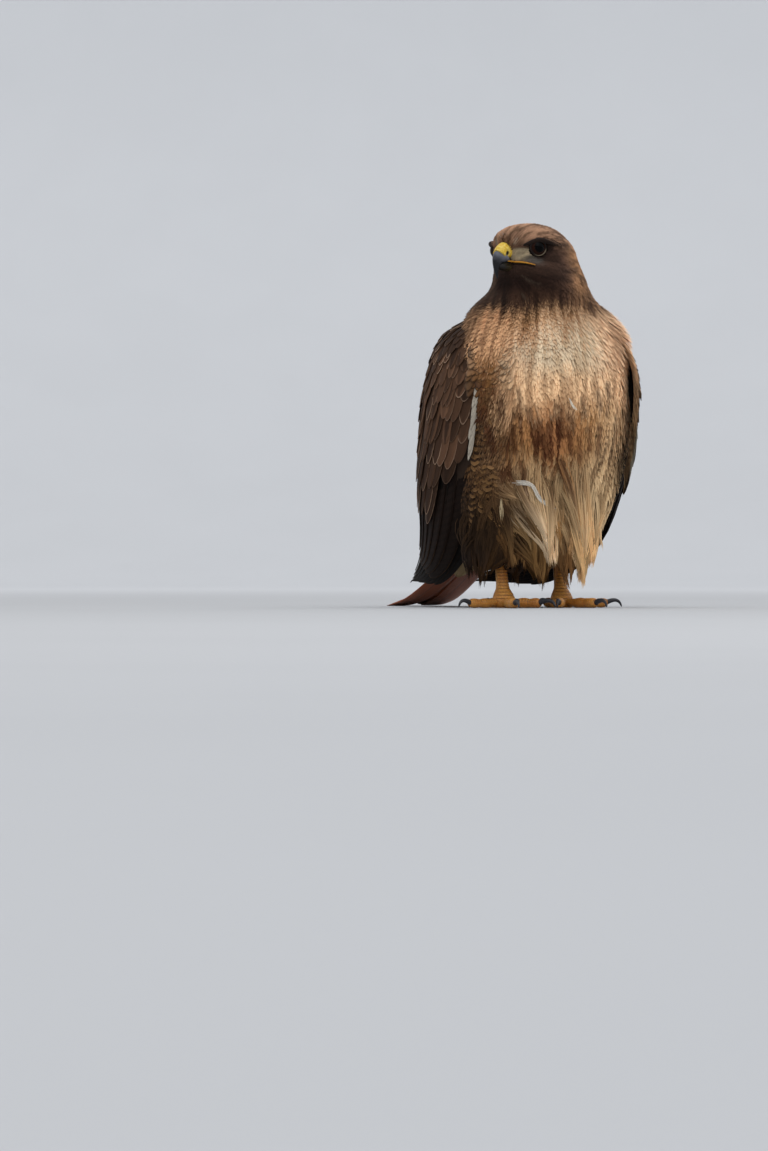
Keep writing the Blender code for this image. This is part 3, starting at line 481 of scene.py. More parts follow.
def spin(way, out, angle):
    """Turns a direction about the way out, as way times cosine plus the cross product times sine"""
    return way * np.cos(angle)[:, None] + np.cross(out, way) * np.sin(angle)[:, None]


def lay_lines(roots, length, turn, rows, loose=0.0):
    """Lines along the coat: each step goes on in a mean of the last direction and the lie there, and is
    pulled back to the surface, or where loose is near 1 hangs free of it"""
    place, out = settle(roots)
    way = spin(lie(place, out), out, turn)
    loose = np.broadcast_to(np.asarray(loose, float), len(roots))[:, None]
    lines, outs = [place], [out]
    for k in range(1, rows):
        place = place + way * (length / (rows - 1))[:, None]
        slope = slope_of(flesh_depth, place)
        out_here = unit(slope)
        stand = flesh_depth(place)[:, None] / np.maximum(np.linalg.norm(slope, axis=-1, keepdims=True), 0.3)
        place = place - out_here * np.where(stand > 0, stand * (1 - loose), stand)
        local = spin(lie(place, out_here), out_here, turn)
        free = unit(way + np.array((0, 0.06, -0.35)))
        way = unit(way * 0.5 + (local * (1 - loose) + free * loose) * 0.5)
        out = unit(out * 0.4 + out_here * 0.6)
        lines.append(place)
        outs.append(out)
    return np.stack(lines, axis=1), np.stack(outs, axis=1)


# %% [markdown]
# One feather of the body coat is a narrow strip of corners: rows from root to tip, columns from edge to
# edge. The real ones are broader, but their barbs come apart at the tip, so what the eye sees is a
# soft mass of fine tips. Narrow strips that overlap many deep give that look. A root lies under the
# feathers before it and a tip stands just clear of those behind.

# %% A coat of soft feathers
ROW_SHARES = {6: (0, 0.3, 0.58, 0.8, 0.94, 1.0), 5: (0, 0.34, 0.66, 0.9, 1.0)}
OUTLINE = ((0, 0.5), (0.25, 0.85), (0.55, 1.0), (0.8, 0.86), (0.92, 0.6), (1.0, 0.12))
STRAND_OUTLINE = ((0, 0.8), (0.5, 1.0), (0.85, 0.6), (1.0, 0.08))


def coat_values(count, rows, columns, length, half, shares, profile, colours, offset, traits):
    """What the plumage material reads, for every corner of every feather"""
    shape = (count, rows, columns)
    across = np.linspace(-1, 1, columns)
    along = np.asarray(shares)
    along_mm = along[None, :, None] * length[:, None, None] + np.zeros(shape)
    across_mm = across * profile[None, :, None] * half[:, None, None] + np.zeros(shape)
    side_room = (1 - np.abs(across)) * profile[None, :, None] * half[:, None, None]
    tip_room = (1 - along)[None, :, None] * length[:, None, None]
    rim_mm = np.minimum(side_room, tip_room) + np.zeros(shape)
    share = np.stack([along[None, :, None] + np.zeros(shape), across + np.zeros(shape),
                      offset[:, None, None] + np.zeros(shape)], axis=-1)
    values = {"share": share, "span": np.stack([along_mm, across_mm, rim_mm], axis=-1)}
    for key, value in dict(colours, traits=traits).items():
        values[key] = np.broadcast_to(value[:, None, None] if value.ndim == 2 else value[:, :, None], (*shape, 3))
    return values


def add_coat(name, roots, at, length, width, turn, colours, traits, rng, rows=5, columns=3, sink=3.0,
             stand=0.6, arch=0.3, loose=0.0, outline=OUTLINE, offset=None, puff=0.0, chance=None):
    """Feathers laid from roots along the coat, in their root's colours mixed with those of the places they cross"""
    count = len(roots)
    lines, outs = lay_lines(roots, length, turn, rows, loose)
    shares = np.array(ROW_SHARES[rows])
    even = np.linspace(0, 1, rows)
    spots = np.interp(shares, even, even * (rows - 1))
    low = np.clip(spots.astype(int), 0, rows - 2)
    part = (spots - low)[None, :, None]
    lines = lines[:, low] * (1 - part) + lines[:, low + 1] * part
    outs = unit(outs[:, low] * (1 - part) + outs[:, low + 1] * part)
    ways = unit(np.gradient(lines, axis=1))
    sides = unit(np.cross(outs, ways))
    profile = smooth(outline, shares)[0]
    half = width / 2
    across = np.linspace(-1, 1, columns)
    lift = -sink + (sink + np.asarray(stand)[..., None]) * shares[None, :] ** 1.2
    lift = lift + np.broadcast_to(puff, count)[:, None] * (0.45 + 0.55 * shares[None, :])
    reach = across[None, None, :, None] * (half[:, None] * profile)[:, :, None, None]
    bend = (across**2)[None, None, :, None] * (half[:, None] * profile)[:, :, None, None] * arch
    corners = lines[:, :, None] + sides[:, :, None] * reach + outs[:, :, None] * (lift[:, :, None, None] - bend)
    if chance is not None:
        there = paint_body(lines.reshape(-1, 3), np.repeat(chance, rows))[0]
        colours = {key: 0.25 * value[:, None] + 0.75 * there[key].reshape(count, rows, 3) for key, value in colours.items()}
    offset = rng.random(count) * 9 if offset is None else offset
    values = coat_values(count, rows, columns, length, half, shares, profile, colours, offset, traits)
    patch = np.stack(np.broadcast_arrays(at[:, None, None, 0] + across * 0.0014,
                                         at[:, None, None, 1] + shares[None, :, None] * 0.003), axis=-1)
    faces = grid_faces(rows, columns, count=count)
    print(f"{name}: {count} feathers, {2 * len(faces)} triangles")
    corners[..., 2] = np.maximum(corners[..., 2], 1.0)
    return add_piece(name, corners, faces, SOFT_PLUME, (), values, patch)


# %% [markdown]
# The folded wing hangs over the bird's side as one curved surface, from the shoulder to the tips, and
# every wing feather lies a little above or below it. The surface is a table of five places across at
# nine shares of its length, smoothed both ways. Its front edge is tucked under the breast's coat.

# %% The outer surface of the folded wing
WING_ALONG = (0.0, 0.10, 0.28, 0.47, 0.62, 0.73, 0.83, 0.92, 1.0)
WING_ACROSS = (0.0, 0.25, 0.5, 0.75, 1.0)
WING_PLACES = np.array((
    ((44, -26, 276), (53, -9, 281), (52, 17, 284), (36, 38, 284), (7, 45, 283)),
    ((68, -36, 256), (84, -8, 258), (85, 28, 260), (65, 61, 262), (9, 80, 262)),
    ((78, -46, 214), (98, -14, 212), (101, 30, 212), (78, 74, 214), (10, 99, 214)),
    ((78, -36, 148), (100, -3, 146), (102, 42, 148), (76, 88, 156), (8, 108, 164)),
    ((76, -16, 98), (97, 17, 96), (96, 62, 100), (68, 104, 114), (8, 124, 126)),
    ((74, 12, 60), (90, 46, 62), (84, 86, 72), (56, 124, 88), (8, 144, 100)),
    ((68, 52, 35), (77, 84, 40), (68, 118, 52), (44, 150, 66), (9, 168, 76)),
    ((57, 102, 20), (60, 128, 27), (52, 154, 37), (34, 176, 47), (11, 190, 54)),
    ((43, 156, 18), (37, 194, 24), (29, 209, 26), (22, 204, 33), (14, 198, 38)),
), float)


WING_LEAN = {  # the bird leans to its left: share along, millimetres to that side
    1: ((0.0, 3), (0.10, 9), (0.28, 10), (0.47, 11), (0.62, 9), (0.73, 10), (0.83, 10), (1.0, 4)),
    -1: ((0.0, 2), (0.10, 6), (0.28, 6), (0.47, 4.5), (0.62, 6), (0.73, 8), (0.83, 8), (1.0, 3)),
}


def on_sheet(side, along, across):
    """Places on a wing's outer surface, the way out, the way to the tip and millimetres for each share
    across; past an edge the surface goes straight on"""
    along, across = np.broadcast_arrays(along, across)
    u, v, step = np.clip(along, 0, 1), np.clip(across, 0, 1), 0.004

    def place(a, b):
        a, b = np.clip(a, 0, 1), np.clip(b, 0, 1)
        return np.einsum("...i,ijk,...j->...k", weights(WING_ALONG, a), WING_PLACES, weights(WING_ACROSS, b))

    def slope(du, dv):
        run = np.clip(u + du, 0, 1) - np.clip(u - du, 0, 1) + np.clip(v + dv, 0, 1) - np.clip(v - dv, 0, 1)
        return (place(u + du, v + dv) - place(u - du, v - dv)) / run[..., None]

    down, over = slope(step, 0), slope(0, step)
    middle = place(u, v) + over * (across - v)[..., None] + down * (along - u)[..., None]
    out = unit(np.cross(down, over))
    turn = np.array((side, 1, 1))
    lean = (smooth(WING_LEAN[side], u)[0] * (1 - ease(v, 0.35, 0.9)))[..., None] * np.array((1.0, 0, 0))
    return middle * turn + lean, out * turn, unit(down) * turn, np.linalg.norm(over, axis=-1)


def under_wing(places, margin):
    """True where a place lies behind a wing's surface and more than margin inside its edges"""
    hidden = np.zeros(len(places), bool)
    u, v = np.meshgrid(np.linspace(0.02, 0.9, 46), np.linspace(0, 1, 34), indexing="ij")
    for side in (1, -1):
        spots, outs, _, breadth = on_sheet(side, u.ravel(), v.ravel())
        room = np.minimum(v.ravel() * breadth, (u.ravel() - 0.02) * 330)
        for start in range(0, len(places), 2000):
            part = places[start:start + 2000]
            away = np.linalg.norm(part[:, None] - spots[None], axis=-1)
            near = away.argmin(axis=1)
            depth = np.sum((part - spots[near]) * outs[near], axis=-1)
            hidden[start:start + 2000] |= (room[near] > margin) & (depth < -1.5) & (away.min(axis=1) < 60)
    return hidden


# %% [markdown]
# The colours come from where a feather grows. The breast is cream in the middle and buff at the sides,
# rufous streaks cross the belly, the flanks are barred, head and back are brown and the throat nearly
# black. A streak is a patch of noise drawn out along the lie. A few zones paint light and shade too:
# lighter on the crown and the back of the head, darker low on the bird's right and in a line behind
# the eye. The same function paints the skin and the coat, so a gap never shows.


# %% Colours from the place on the body
STREAKS = (  # the darkest streaks, as seen from ahead: across and height of upper and lower end
    (-49, 224, -50, 203), (-39, 216, -41, 192), (-30, 213, -29, 197), (-17, 205, -15, 189), (-10, 189, -4, 170),
    (-2, 176, 9, 151), (8, 167, 12, 143), (23, 189, 26, 162), (30, 170, 34, 146), (24, 140, 34, 119),
    (44, 197, 47, 181), (59, 205, 62, 189), (69, 213, 70, 200), (-37, 186, -35, 162), (-48, 189, -47, 170),
    (-23, 170, -20, 148), (-29, 146, -25, 127), (50, 170, 51, 151), (61, 170, 61, 146), (40, 159, 42, 138),
    (-14, 138, -10, 124),
)


def toward(colours, code, share):
    """Moves colours towards a code by a share"""
    return colours + (hex_colour(code) - colours) * np.clip(share, 0, 1)[:, None]


def value_noise(u, v, seed):
    """Random numbers on a square lattice, blended with 3t2 - 2t3 between each four neighbours"""
    table = np.random.default_rng(seed).uniform(-1, 1, (128, 128))
    i, j = np.floor(u).astype(int), np.floor(v).astype(int)
    a, b = u - i, v - j
    a, b = a * a * (3 - 2 * a), b * b * (3 - 2 * b)
    i, j, k, m = i % 128, j % 128, (i + 1) % 128, (j + 1) % 128
    return (table[i, j] * (1 - a) + table[k, j] * a) * (1 - b) + (table[i, m] * (1 - a) + table[k, m] * a) * b


def near_line(spots, start, end):
    """Distance from places to the line between two places"""
    start, way = np.array(start, float), np.array(end, float) - np.array(start, float)
    share = np.clip((spots - start) @ way / (way @ way), 0, 1)
    return np.linalg.norm(spots - start - share[:, None] * way, axis=-1)


def paint_body(places, chance):
    """Ground, mark and rim colours, the strengths of streak, bars and rim, and where the bars start"""
    x, y, z = places.T
    ahead, aside, _ = to_head(places)
    in_face = np.stack([ahead, np.abs(aside), z], axis=-1)
    side = np.degrees(np.arctan2(x, -(y + 4)))
    turn = np.abs(side + 8)
    arc = np.radians(side) * 85
    slow = value_noise(arc / 24, z / 30, 3)
    fine = value_noise(arc / 3.4, z / 21, 4)
    rough = value_noise(arc / 7.5, z / 26, 5)
    on_head = ease(z, 292, 310)
    round_face = np.degrees(np.arctan2(z - 325, aside)) / 4
    fine = fine * (1 - on_head) + value_noise(round_face, ahead / 11 + 20, 6) * on_head
    streaky = 1 - ease(z, 200, 232)  # the belly is streaked more than the breast
    lines = (0.62 + 0.25 * on_head + 0.4 * streaky) * fine + 0.6 * rough * (1 - 0.6 * on_head) + 0.16 * chance
    blur = 5 * chance + 8 * slow + 6 * lines
    state = [np.tile(hex_colour("b08d6a"), (len(x), 1)), np.tile(hex_colour("7c5a3c"), (len(x), 1)), 0 * x + 0.5, 0 * x]

    def zone(share, ground, mark, streaks, bars=0.0):
        state[0], state[1] = toward(state[0], ground, share), toward(state[1], mark, share)
        state[2], state[3] = state[2] + (streaks - state[2]) * share, state[3] + (bars - state[3]) * share

    high, low = ease(z + blur, 210, 236), 1 - ease(z + blur, 116, 148)
    right, left = ease(-side - 0.8 * blur, 38, 64), ease(side + 0.8 * blur, 0, 34)
    zone(high, "cfa27a", "925f3a", 0.5)
    zone(high * ease(z + blur, 258, 286), "ad845c", "74502f", 0.7)
    zone(high * left * (1 - ease(z, 268, 290)), "ffd8ae", "cf9f74", 0.35)
    zone(high * right, "e0ae80", "7d5336", 0.7)
    zone(high * right * (1 - ease(z + blur, 222, 246)), "875b38", "45291a", 0.75)
    cream = (1 - ease(turn + blur, 16, 46)) * ease(z + blur, 206, 234) * (1 - ease(z + 1.3 * blur, 244, 278))
    zone(cream, "d9c4a4", "b8976f", 0.5)
    band = (1 - high) * ease(z + blur, 174, 200) * (1 - right)
    zone(band, "ffd3a2", "8d5a33", 0.55)
    zone(right * ease(z + blur, 188, 204) * (1 - ease(z + blur, 222, 242)), "83582f", "3b2314", 0.85)
    middle = (1 - ease(z + blur, 174, 200)) * (1 - low) * (1 - right)
    zone(middle, "b4824f", "432410", 0.85)
    zone(middle * left, "dcb485", "4d301b", 0.65, 0.8)
    dark = middle * np.exp(-((side + 21 + (z - 170) * 0.15 + 0.9 * blur) / 20) ** 2) * ease(z + blur, 128, 154)
    zone(dark * 0.85, "aa7149", "451f0f", 1.0)
    zone(low * (1 - right), "c9a679", "77593a", 0.7)
    zone(low * left, "ecca9a", "94704a", 0.6)
    # painted shade: the low belly on the bird's right is darker, where it turns away under the body
    zone(low * ease(-side, 12, 36) * (1 - ease(z, 84, 112)), "684e30", "2f2012", 0.7)
    zone(right * (1 - ease(z + blur, 192, 230)), "62452a", "160b05", 0.35, 1.0)
    # partly the barred band, partly painted shade: the lowest part of the right side goes nearly black
    zone(right * (1 - ease(z, 92, 124)), "3d2b1a", "150b06", 0.5, 0.8)
    back = ease(np.abs(side), 98, 114)
    zone(back, "4a372b", "2a1d16", 0.6)

    head = ease(z + 3 * chance + 4 * slow + 5 * lines, 277, 295)
    shoulder = ease(np.abs(side + 2), 66, 94) * ease(z + blur, 238, 268)
    zone(shoulder, "a07a58", "54402f", 0.8)
    zone(head, "6e503f", "3a2920", 0.6)
    # painted light over their own warm brown: the back of the head and the top of the crown are lighter, as if lit from
    # above and the upper right
    zone(head * ease(-ahead, -8, 18), "a97d57", "573f2d", 0.8)
    zone(head * ease(z, 336, 356), "a37e63", "58402f", 0.95)
    cheek = head * ease(ahead + 4 * lines, -22, 10) * (1 - ease(z + 3 * lines, 334, 346)) * ease(z, 302, 318)
    zone(cheek, "48352b", "2a1d16", 0.7)
    throat = head * ease(ahead + 4 * lines, -8, 16) * (1 - ease(z + 3 * lines, 310, 328))
    zone(throat, "261812", "1a100b", 0.5)
    zone(head * ease(-aside, 10, 26) * (1 - ease(z, 316, 332)), "523e30", "2f2119", 0.6)
    zone(head * (1 - ease(z + 3 * lines, 292, 308)) * 0.7, "50382a", "281a12", 0.8)
    lore = head * (1 - ease(np.hypot((ahead - 36.5) * 0.85, (z - 335.5) * (1 + 0.5 * (z > 336))), 4.5, 8.5)) * ease(np.abs(aside), 3, 6)
    zone(lore, "a8977a", "7a6a55", 0.6)
    zone(lore * ease(ahead + 3 * lines, 36, 41), "cbba9a", "9f8f76", 0.5)
    below = head * (1 - ease(np.hypot((ahead - 29) * 0.8, (z - 330.0) * 1.3), 3.5, 7.5)) * ease(np.abs(aside), 8, 12)
    zone(below * 0.85, "5a554f", "3a332c", 0.4)
    ring = head * (1 - ease(np.hypot(ahead - 24, (z - 341) * 1.05), 9.5, 12.5)) * (1 - lore) * (1 - ease(z, 345.5, 348))
    zone(ring, "2a1d17", "170f0b", 0.4)
    # dark feathers and painted shadow of the brow: a dark line back from the top of the eye
    zone(head * (1 - ease(near_line(in_face, (14, 33, 343.5), (-6, 37, 346)), 1.0, 3.0)) * 0.8, "2a1d17", "170f0b", 0.4)
    zone(1 - ease(near_line(in_face, (38, 7.5, 343.5), (37, 8, 346)), 1.1, 2.6), "c4b8a2", "a0947e", 0.2)
    pale = 0 * x
    for start, end in (((36, 15, 314), (29, 25, 305)), ((33, 20, 313), (26, 28, 307)), ((38, 11, 302), (31, 18, 291))):
        pale = np.maximum(pale, 1 - ease(near_line(in_face, start, end), 0.5, 2.4))
    zone(pale * ease(lines, -0.4, 0.4) * 0.5, "6f6050", "463b31", 0.5)

    from_ahead = np.stack([places @ LOOK_RIGHT, 0 * z, z], axis=-1)
    near = np.min([near_line(from_ahead, (a, 0, b), (c, 0, d)) for a, b, c, d in STREAKS], axis=0)
    near = 1 - ease(near + 1.2 * fine + 0.5 * chance, 1.0, 3.8)
    zone(near * 0.85 * (1 - ease(np.abs(side + 10), 62, 78)), "54301a", "33190b", 0.5)

    ground, mark, streaks, bars = state
    dark_line = (streaks * ease(lines, -0.02, 0.4 - 0.1 * streaky))[:, None]
    light_line = ((0.6 + 0.4 * on_head) * ease(-lines, 0.1, 0.6))[:, None]
    shade = 1 + (0.08 + 0.1 * on_head)[:, None] * chance[:, None] + 0.06 * slow[:, None]
    colour = (ground * (1 - dark_line) + mark * dark_line) * (1 + 0.35 * light_line) * shade
    column = np.abs((arc / 16.0 + 0.3 * slow) % 1 - 0.5)
    offset = -z + 10 * column + 0.15 * chance + 1.5 * slow
    spotted = bars * np.where(side > -20, ease(column, 0.2, 0.4), 0.75 + 0.25 * rough)
    traits = np.stack([0 * bars, spotted, 0.15 + 0 * bars], axis=-1)
    return {"ground": colour, "mark": mark * shade, "rim": colour * 1.25}, np.clip(traits, 0, 1), offset


# %% [markdown]
# Skin first. Trunk, neck, head and thighs are three closed grids joined and remeshed into one surface,
# four millimetres inside the flesh, so that no seam shows where a thigh meets the belly.

# %% One skin
SKIN_DEPTH = 3.5


def close_ends(grid):
    """Adds a first and a last row that draw together to one place"""
    first, last = grid[:1].mean(axis=1, keepdims=True), grid[-1:].mean(axis=1, keepdims=True)
    return np.concatenate([np.broadcast_to(first, grid[:1].shape), grid, np.broadcast_to(last, grid[:1].shape)])


def finish_with(piece, kind, **settings):
    """Runs one modifier on a piece for good"""
    step = piece.modifiers.new(kind, kind)
    for key, value in settings.items():
        setattr(step, key, value)
    graph = bpy.context.evaluated_depsgraph_get()
    mesh = bpy.data.meshes.new_from_object(piece.evaluated_get(graph))
    piece.modifiers.clear()
    piece.data = mesh
    mesh.name = piece.name


def corners_of(piece):
    """A piece's corners in millimetres, in the bird's frame"""
    flat = np.empty(len(piece.data.vertices) * 3, np.float32)
    piece.data.vertices.foreach_get("co", flat)
    return flat.reshape(-1, 3) * 1000.0 - SHIFT


corners, faces = [], []
for grid in (BODY_GRID[::2, :-1:2], thigh_grid(1)[::2, :-1:2], thigh_grid(-1)[::2, :-1:2]):
    middle = grid.mean(axis=1, keepdims=True)
    closed = close_ends(grid + unit(middle - grid) * SKIN_DEPTH)
    faces.append(grid_faces(*closed.shape[:2], closed=True) + sum(len(part) for part in corners))
    corners.append(closed.reshape(-1, 3))
skin = add_piece("skin", np.concatenate(corners), np.concatenate(faces), SOFT_PLUME,
                 ("torso", "neck", "head", "thigh_left", "thigh_right"))
finish_with(skin, "REMESH", mode="VOXEL", voxel_size=0.0026, use_smooth_shade=True)
places = corners_of(skin)
colours, traits, offset = paint_body(places, 0 * places[:, 0])
share = np.stack([0 * offset + 0.3, 0 * offset, offset], axis=-1)
for key, value in dict(colours, traits=traits, share=share, span=traits * 0 + 3).items():
    skin.data.attributes.new(key, "FLOAT_VECTOR", "POINT").data.foreach_set("vector", value.ravel())
print("skin:", len(places), "corners")

# %% [markdown]
# The coat of trunk, neck and head grows from one lattice of roots. Feathers get longer with their
# distance from the bill: three millimetres on the lores, nine on the crown, twenty five on the breast.

# %% The coat of body, neck and head
rng = np.random.default_rng(7)
EYE_SPOT = (24.6, 22.2, 341.0)  # a little inside and below the solid eye, as the coat shows it
EYES = np.stack([in_head(EYE_SPOT[0], side * EYE_SPOT[1] + 0.8 * (1 - side), EYE_SPOT[2]) for side in (1, -1)])
EYE_LOOKS = unit(np.stack([in_head(9, side * 19, 0.5) - in_head(0, 0, 0) for side in (1, -1)]))


def body_spacing(places):
    """Millimetres between neighbouring roots: 1.3 by the bill, then with the distance from it"""
    far = np.linalg.norm(places - BILL_ROOT, axis=-1)
    return np.interp(far, (10, 30, 60, 100, 170, 260), (1.25, 1.35, 1.6, 2.0, 2.4, 2.7))


roots, at = scatter(BODY_GRID, body_spacing)
ahead, aside, height = to_head(roots)
by_bill = (ahead > 42.5) & (np.abs(aside) < 8.0) & (height > 323) & (height < 346)
lids = np.min([np.linalg.norm(roots - (eye + look * 4), axis=-1) for eye, look in zip(EYES, EYE_LOOKS)], axis=0) < 9.2
in_thigh = np.minimum(thigh_depth(roots, 1), thigh_depth(roots, -1)) < -4
keep = ~(by_bill | lids | in_thigh | under_wing(roots, 18))
roots, at = roots[keep], at[keep] * (0.7, 0.98) + (0.005, 0.01)
far, chance = np.linalg.norm(roots - BILL_ROOT, axis=-1), rng.uniform(-1, 1, len(roots))
colours, traits, offset = paint_body(roots, chance)
length = np.interp(far, (8, 22, 50, 80, 120, 180, 280), (3.2, 4.6, 8.5, 12, 17, 22, 25)) * rng.uniform(0.75, 1.2, len(far))
width = np.interp(far, (10, 30, 60, 120, 260), (1.1, 1.4, 1.8, 2.5, 3.0)) * rng.uniform(0.8, 1.2, len(far))
arc = np.arctan2(roots[:, 0], -roots[:, 1]) * 85
turn = 0.22 * value_noise(arc / 20, roots[:, 2] / 26, 8) + rng.normal(0, 0.07, len(far))
turn *= np.interp(far, (20, 120, 260), (0.5, 1.0, 1.3))
swell = 0.9 * value_noise(arc / 9, roots[:, 2] / 18, 9) * np.interp(far, (40, 120), (0.2, 1.0))
loose = np.interp(roots[:, 2], (60, 120), (0.5, 0.0))
side_angle = np.degrees(arc / 85)
puff = 14 * np.exp(-((roots[:, 2] - 272) / 24) ** 2) * ease(side_angle, 15, 60)  # ruffled shoulders, the left one most
puff += 9 * np.exp(-((roots[:, 2] - 185) / 45) ** 2) * ease(side_angle, 38, 66)
puff += 4.5 * np.exp(-((roots[:, 2] - 294) / 14) ** 2) * ease(-side_angle, 15, 60)
REGIONS = {
    "coat_head": roots[:, 2] > 318,
    "coat_neck": (roots[:, 2] <= 318) & (roots[:, 2] > 262),
    "coat_breast": (roots[:, 2] <= 262) & (roots[:, 2] > 165),
    "coat_belly": roots[:, 2] <= 165,
}
SINK = {"coat_head": 1.4, "coat_neck": 2.2, "coat_breast": 2.8, "coat_belly": 3.0}
STAND = {"coat_head": 0.3, "coat_neck": 0.6, "coat_breast": 0.7, "coat_belly": 1.0}
for name, chosen in REGIONS.items():
    part = {key: value[chosen] for key, value in colours.items()}
    stand = STAND[name] + swell[chosen] + rng.normal(0, 0.2, chosen.sum())
    add_coat(name, roots[chosen], at[chosen], length[chosen], width[chosen], turn[chosen], part, traits[chosen], rng,
             sink=SINK[name], stand=stand, loose=loose[chosen], offset=offset[chosen], puff=puff[chosen], chance=chance[chosen])

# %% [markdown]
# The thighs carry the same coat, but its feathers hang free of the leg at their ends: soft trousers
# that reach down to the ankle. Between them long loose strands hang from the belly in tufts: their
# barbs cling together, so each tuft draws to a point.

# %% Trousers and loose belly strands
for side, name in ((1, "left"), (-1, "right")):
    roots, at = scatter(thigh_grid(side), lambda places: 2.5 + 0 * places[..., 2])
    keep = (body_depth(roots) > -3) & ~under_wing(roots, 22) & (roots[:, 2] > 47)
    roots, at = roots[keep], at[keep] * (0.14, 0.98) + (0.72 if side > 0 else 0.86, 0.01)
    chance = rng.uniform(-1, 1, len(roots))
    colours, traits, offset = paint_body(roots, chance)
    hang = 1 - ease(roots[:, 2], 50, 100)
    length = rng.uniform(16, 25, len(roots)) * np.interp(roots[:, 2], (47, 76), (0.5, 1))
    add_coat(f"coat_thigh_{name}", roots, at, length, rng.uniform(2.2, 3.4, len(roots)), rng.normal(0, 0.12, len(roots)),
             colours, traits, rng, sink=3.0, stand=0.9 + rng.normal(0, 0.4, len(roots)), loose=0.15 + 0.6 * hang,
             offset=offset, chance=chance)


def on_front(across, height):
    """Places on the flesh as they look from the front and a little from the right: from far ahead each
    goes in by its depth until it arrives"""
    places = LOOK_RIGHT * across[:, None] + LOOK_FROM * 150 + UP * height[:, None]
    for _ in range(60):
        places = places - LOOK_FROM * np.clip(flesh_depth(places) * 0.7, -2, 12)[:, None]
    return places


# the right flank's feathers are broad, each with one dark chevron before its tip
column, row = [part.ravel() for part in np.meshgrid(np.arange(4), np.arange(19), indexing="ij")]
height = 192 - 6.2 * row - 3.1 * (column % 2) + rng.normal(0, 0.7, len(row))
across = -34.5 - 7.6 * column - 0.06 * (150 - height) * (height < 150) + rng.normal(0, 0.9, len(row))
roots = on_front(across, height)
keep = (np.abs(flesh_depth(roots)) < 1.5) & (roots[:, 1] < 30)
roots, count = roots[keep], keep.sum()
chance = rng.uniform(-1, 1, count)
colours, _, _ = paint_body(roots, chance)
shade = rng.uniform(0.8, 1.15, (count, 1))
colours = {"ground": 0.5 * colours["ground"] + 0.5 * hex_colour("7f5d38") * shade, "mark": hex_colour("24150c") + 0 * shade,
           "rim": hex_colour("9c7a50") * shade}
fade = ease(-across, 30, 42) * (1 - ease(height, 160, 190)) * ease(height, 78, 96)
at = np.stack([0.2 + 0.6 * (across[keep] + 80) / 80, height[keep] / 220], axis=-1)
add_coat("coat_flank", roots, at, rng.uniform(15, 17, count), rng.uniform(12, 14, count), rng.normal(0, 0.12, count), colours,
         fade[keep][:, None] * (0, 0.9, 0.3), rng, rows=6, columns=7, sink=2.0, stand=1.5 + rng.normal(0, 0.5, count), arch=0.22,
         offset=-3.5 + rng.normal(0, 0.5, count))


def add_strands(name, lines, tone, width, ground_at_root=None):
    """Ribbons two corners wide along lines that are given, facing away from the flesh"""
    count, rows = lines.shape[:2]
    shares = np.linspace(0, 1, rows)
    ways = unit(np.gradient(lines, axis=1))
    outs = unit(slope_of(flesh_depth, lines.reshape(-1, 3)).reshape(lines.shape) + 0.6 * LOOK_FROM)
    sides = unit(np.cross(outs, ways))
    profile = smooth(STRAND_OUTLINE, shares)[0]
    across = np.array((-1.0, 1.0))
    corners = lines[:, :, None] + sides[:, :, None] * (across * width / 2 * profile[:, None])[None, :, :, None]
    corners[..., 2] = np.maximum(corners[..., 2], 1.0)
    share = ease(shares, 0.15, 0.75)[None, :, None]
    ground = tone[:, None] * share + (tone if ground_at_root is None else ground_at_root)[:, None] * (1 - share)
    colours = {"ground": ground, "mark": ground * 0.6, "rim": ground * 1.1}
    length = np.linalg.norm(np.diff(lines, axis=1), axis=-1).sum(axis=1)
    values = coat_values(count, rows, 2, length, np.full(count, width / 2), shares, profile, colours, rng.random(count), np.zeros((count, 3)))
    at = np.stack([0.5 + lines[:, 0] @ LOOK_RIGHT / 220, lines[:, 0, 2] / 220], axis=-1)
    patch = np.stack(np.broadcast_arrays(at[:, None, None, 0] + across * 0.0014,
                                         at[:, None, None, 1] + shares[None, :, None] * 0.003), axis=-1)
    faces = grid_faces(rows, 2, count=count)
    print(f"{name}: {count} strands, {2 * len(faces)} triangles")
    return add_piece(name, corners, faces, SOFT_PLUME, (), values, patch)


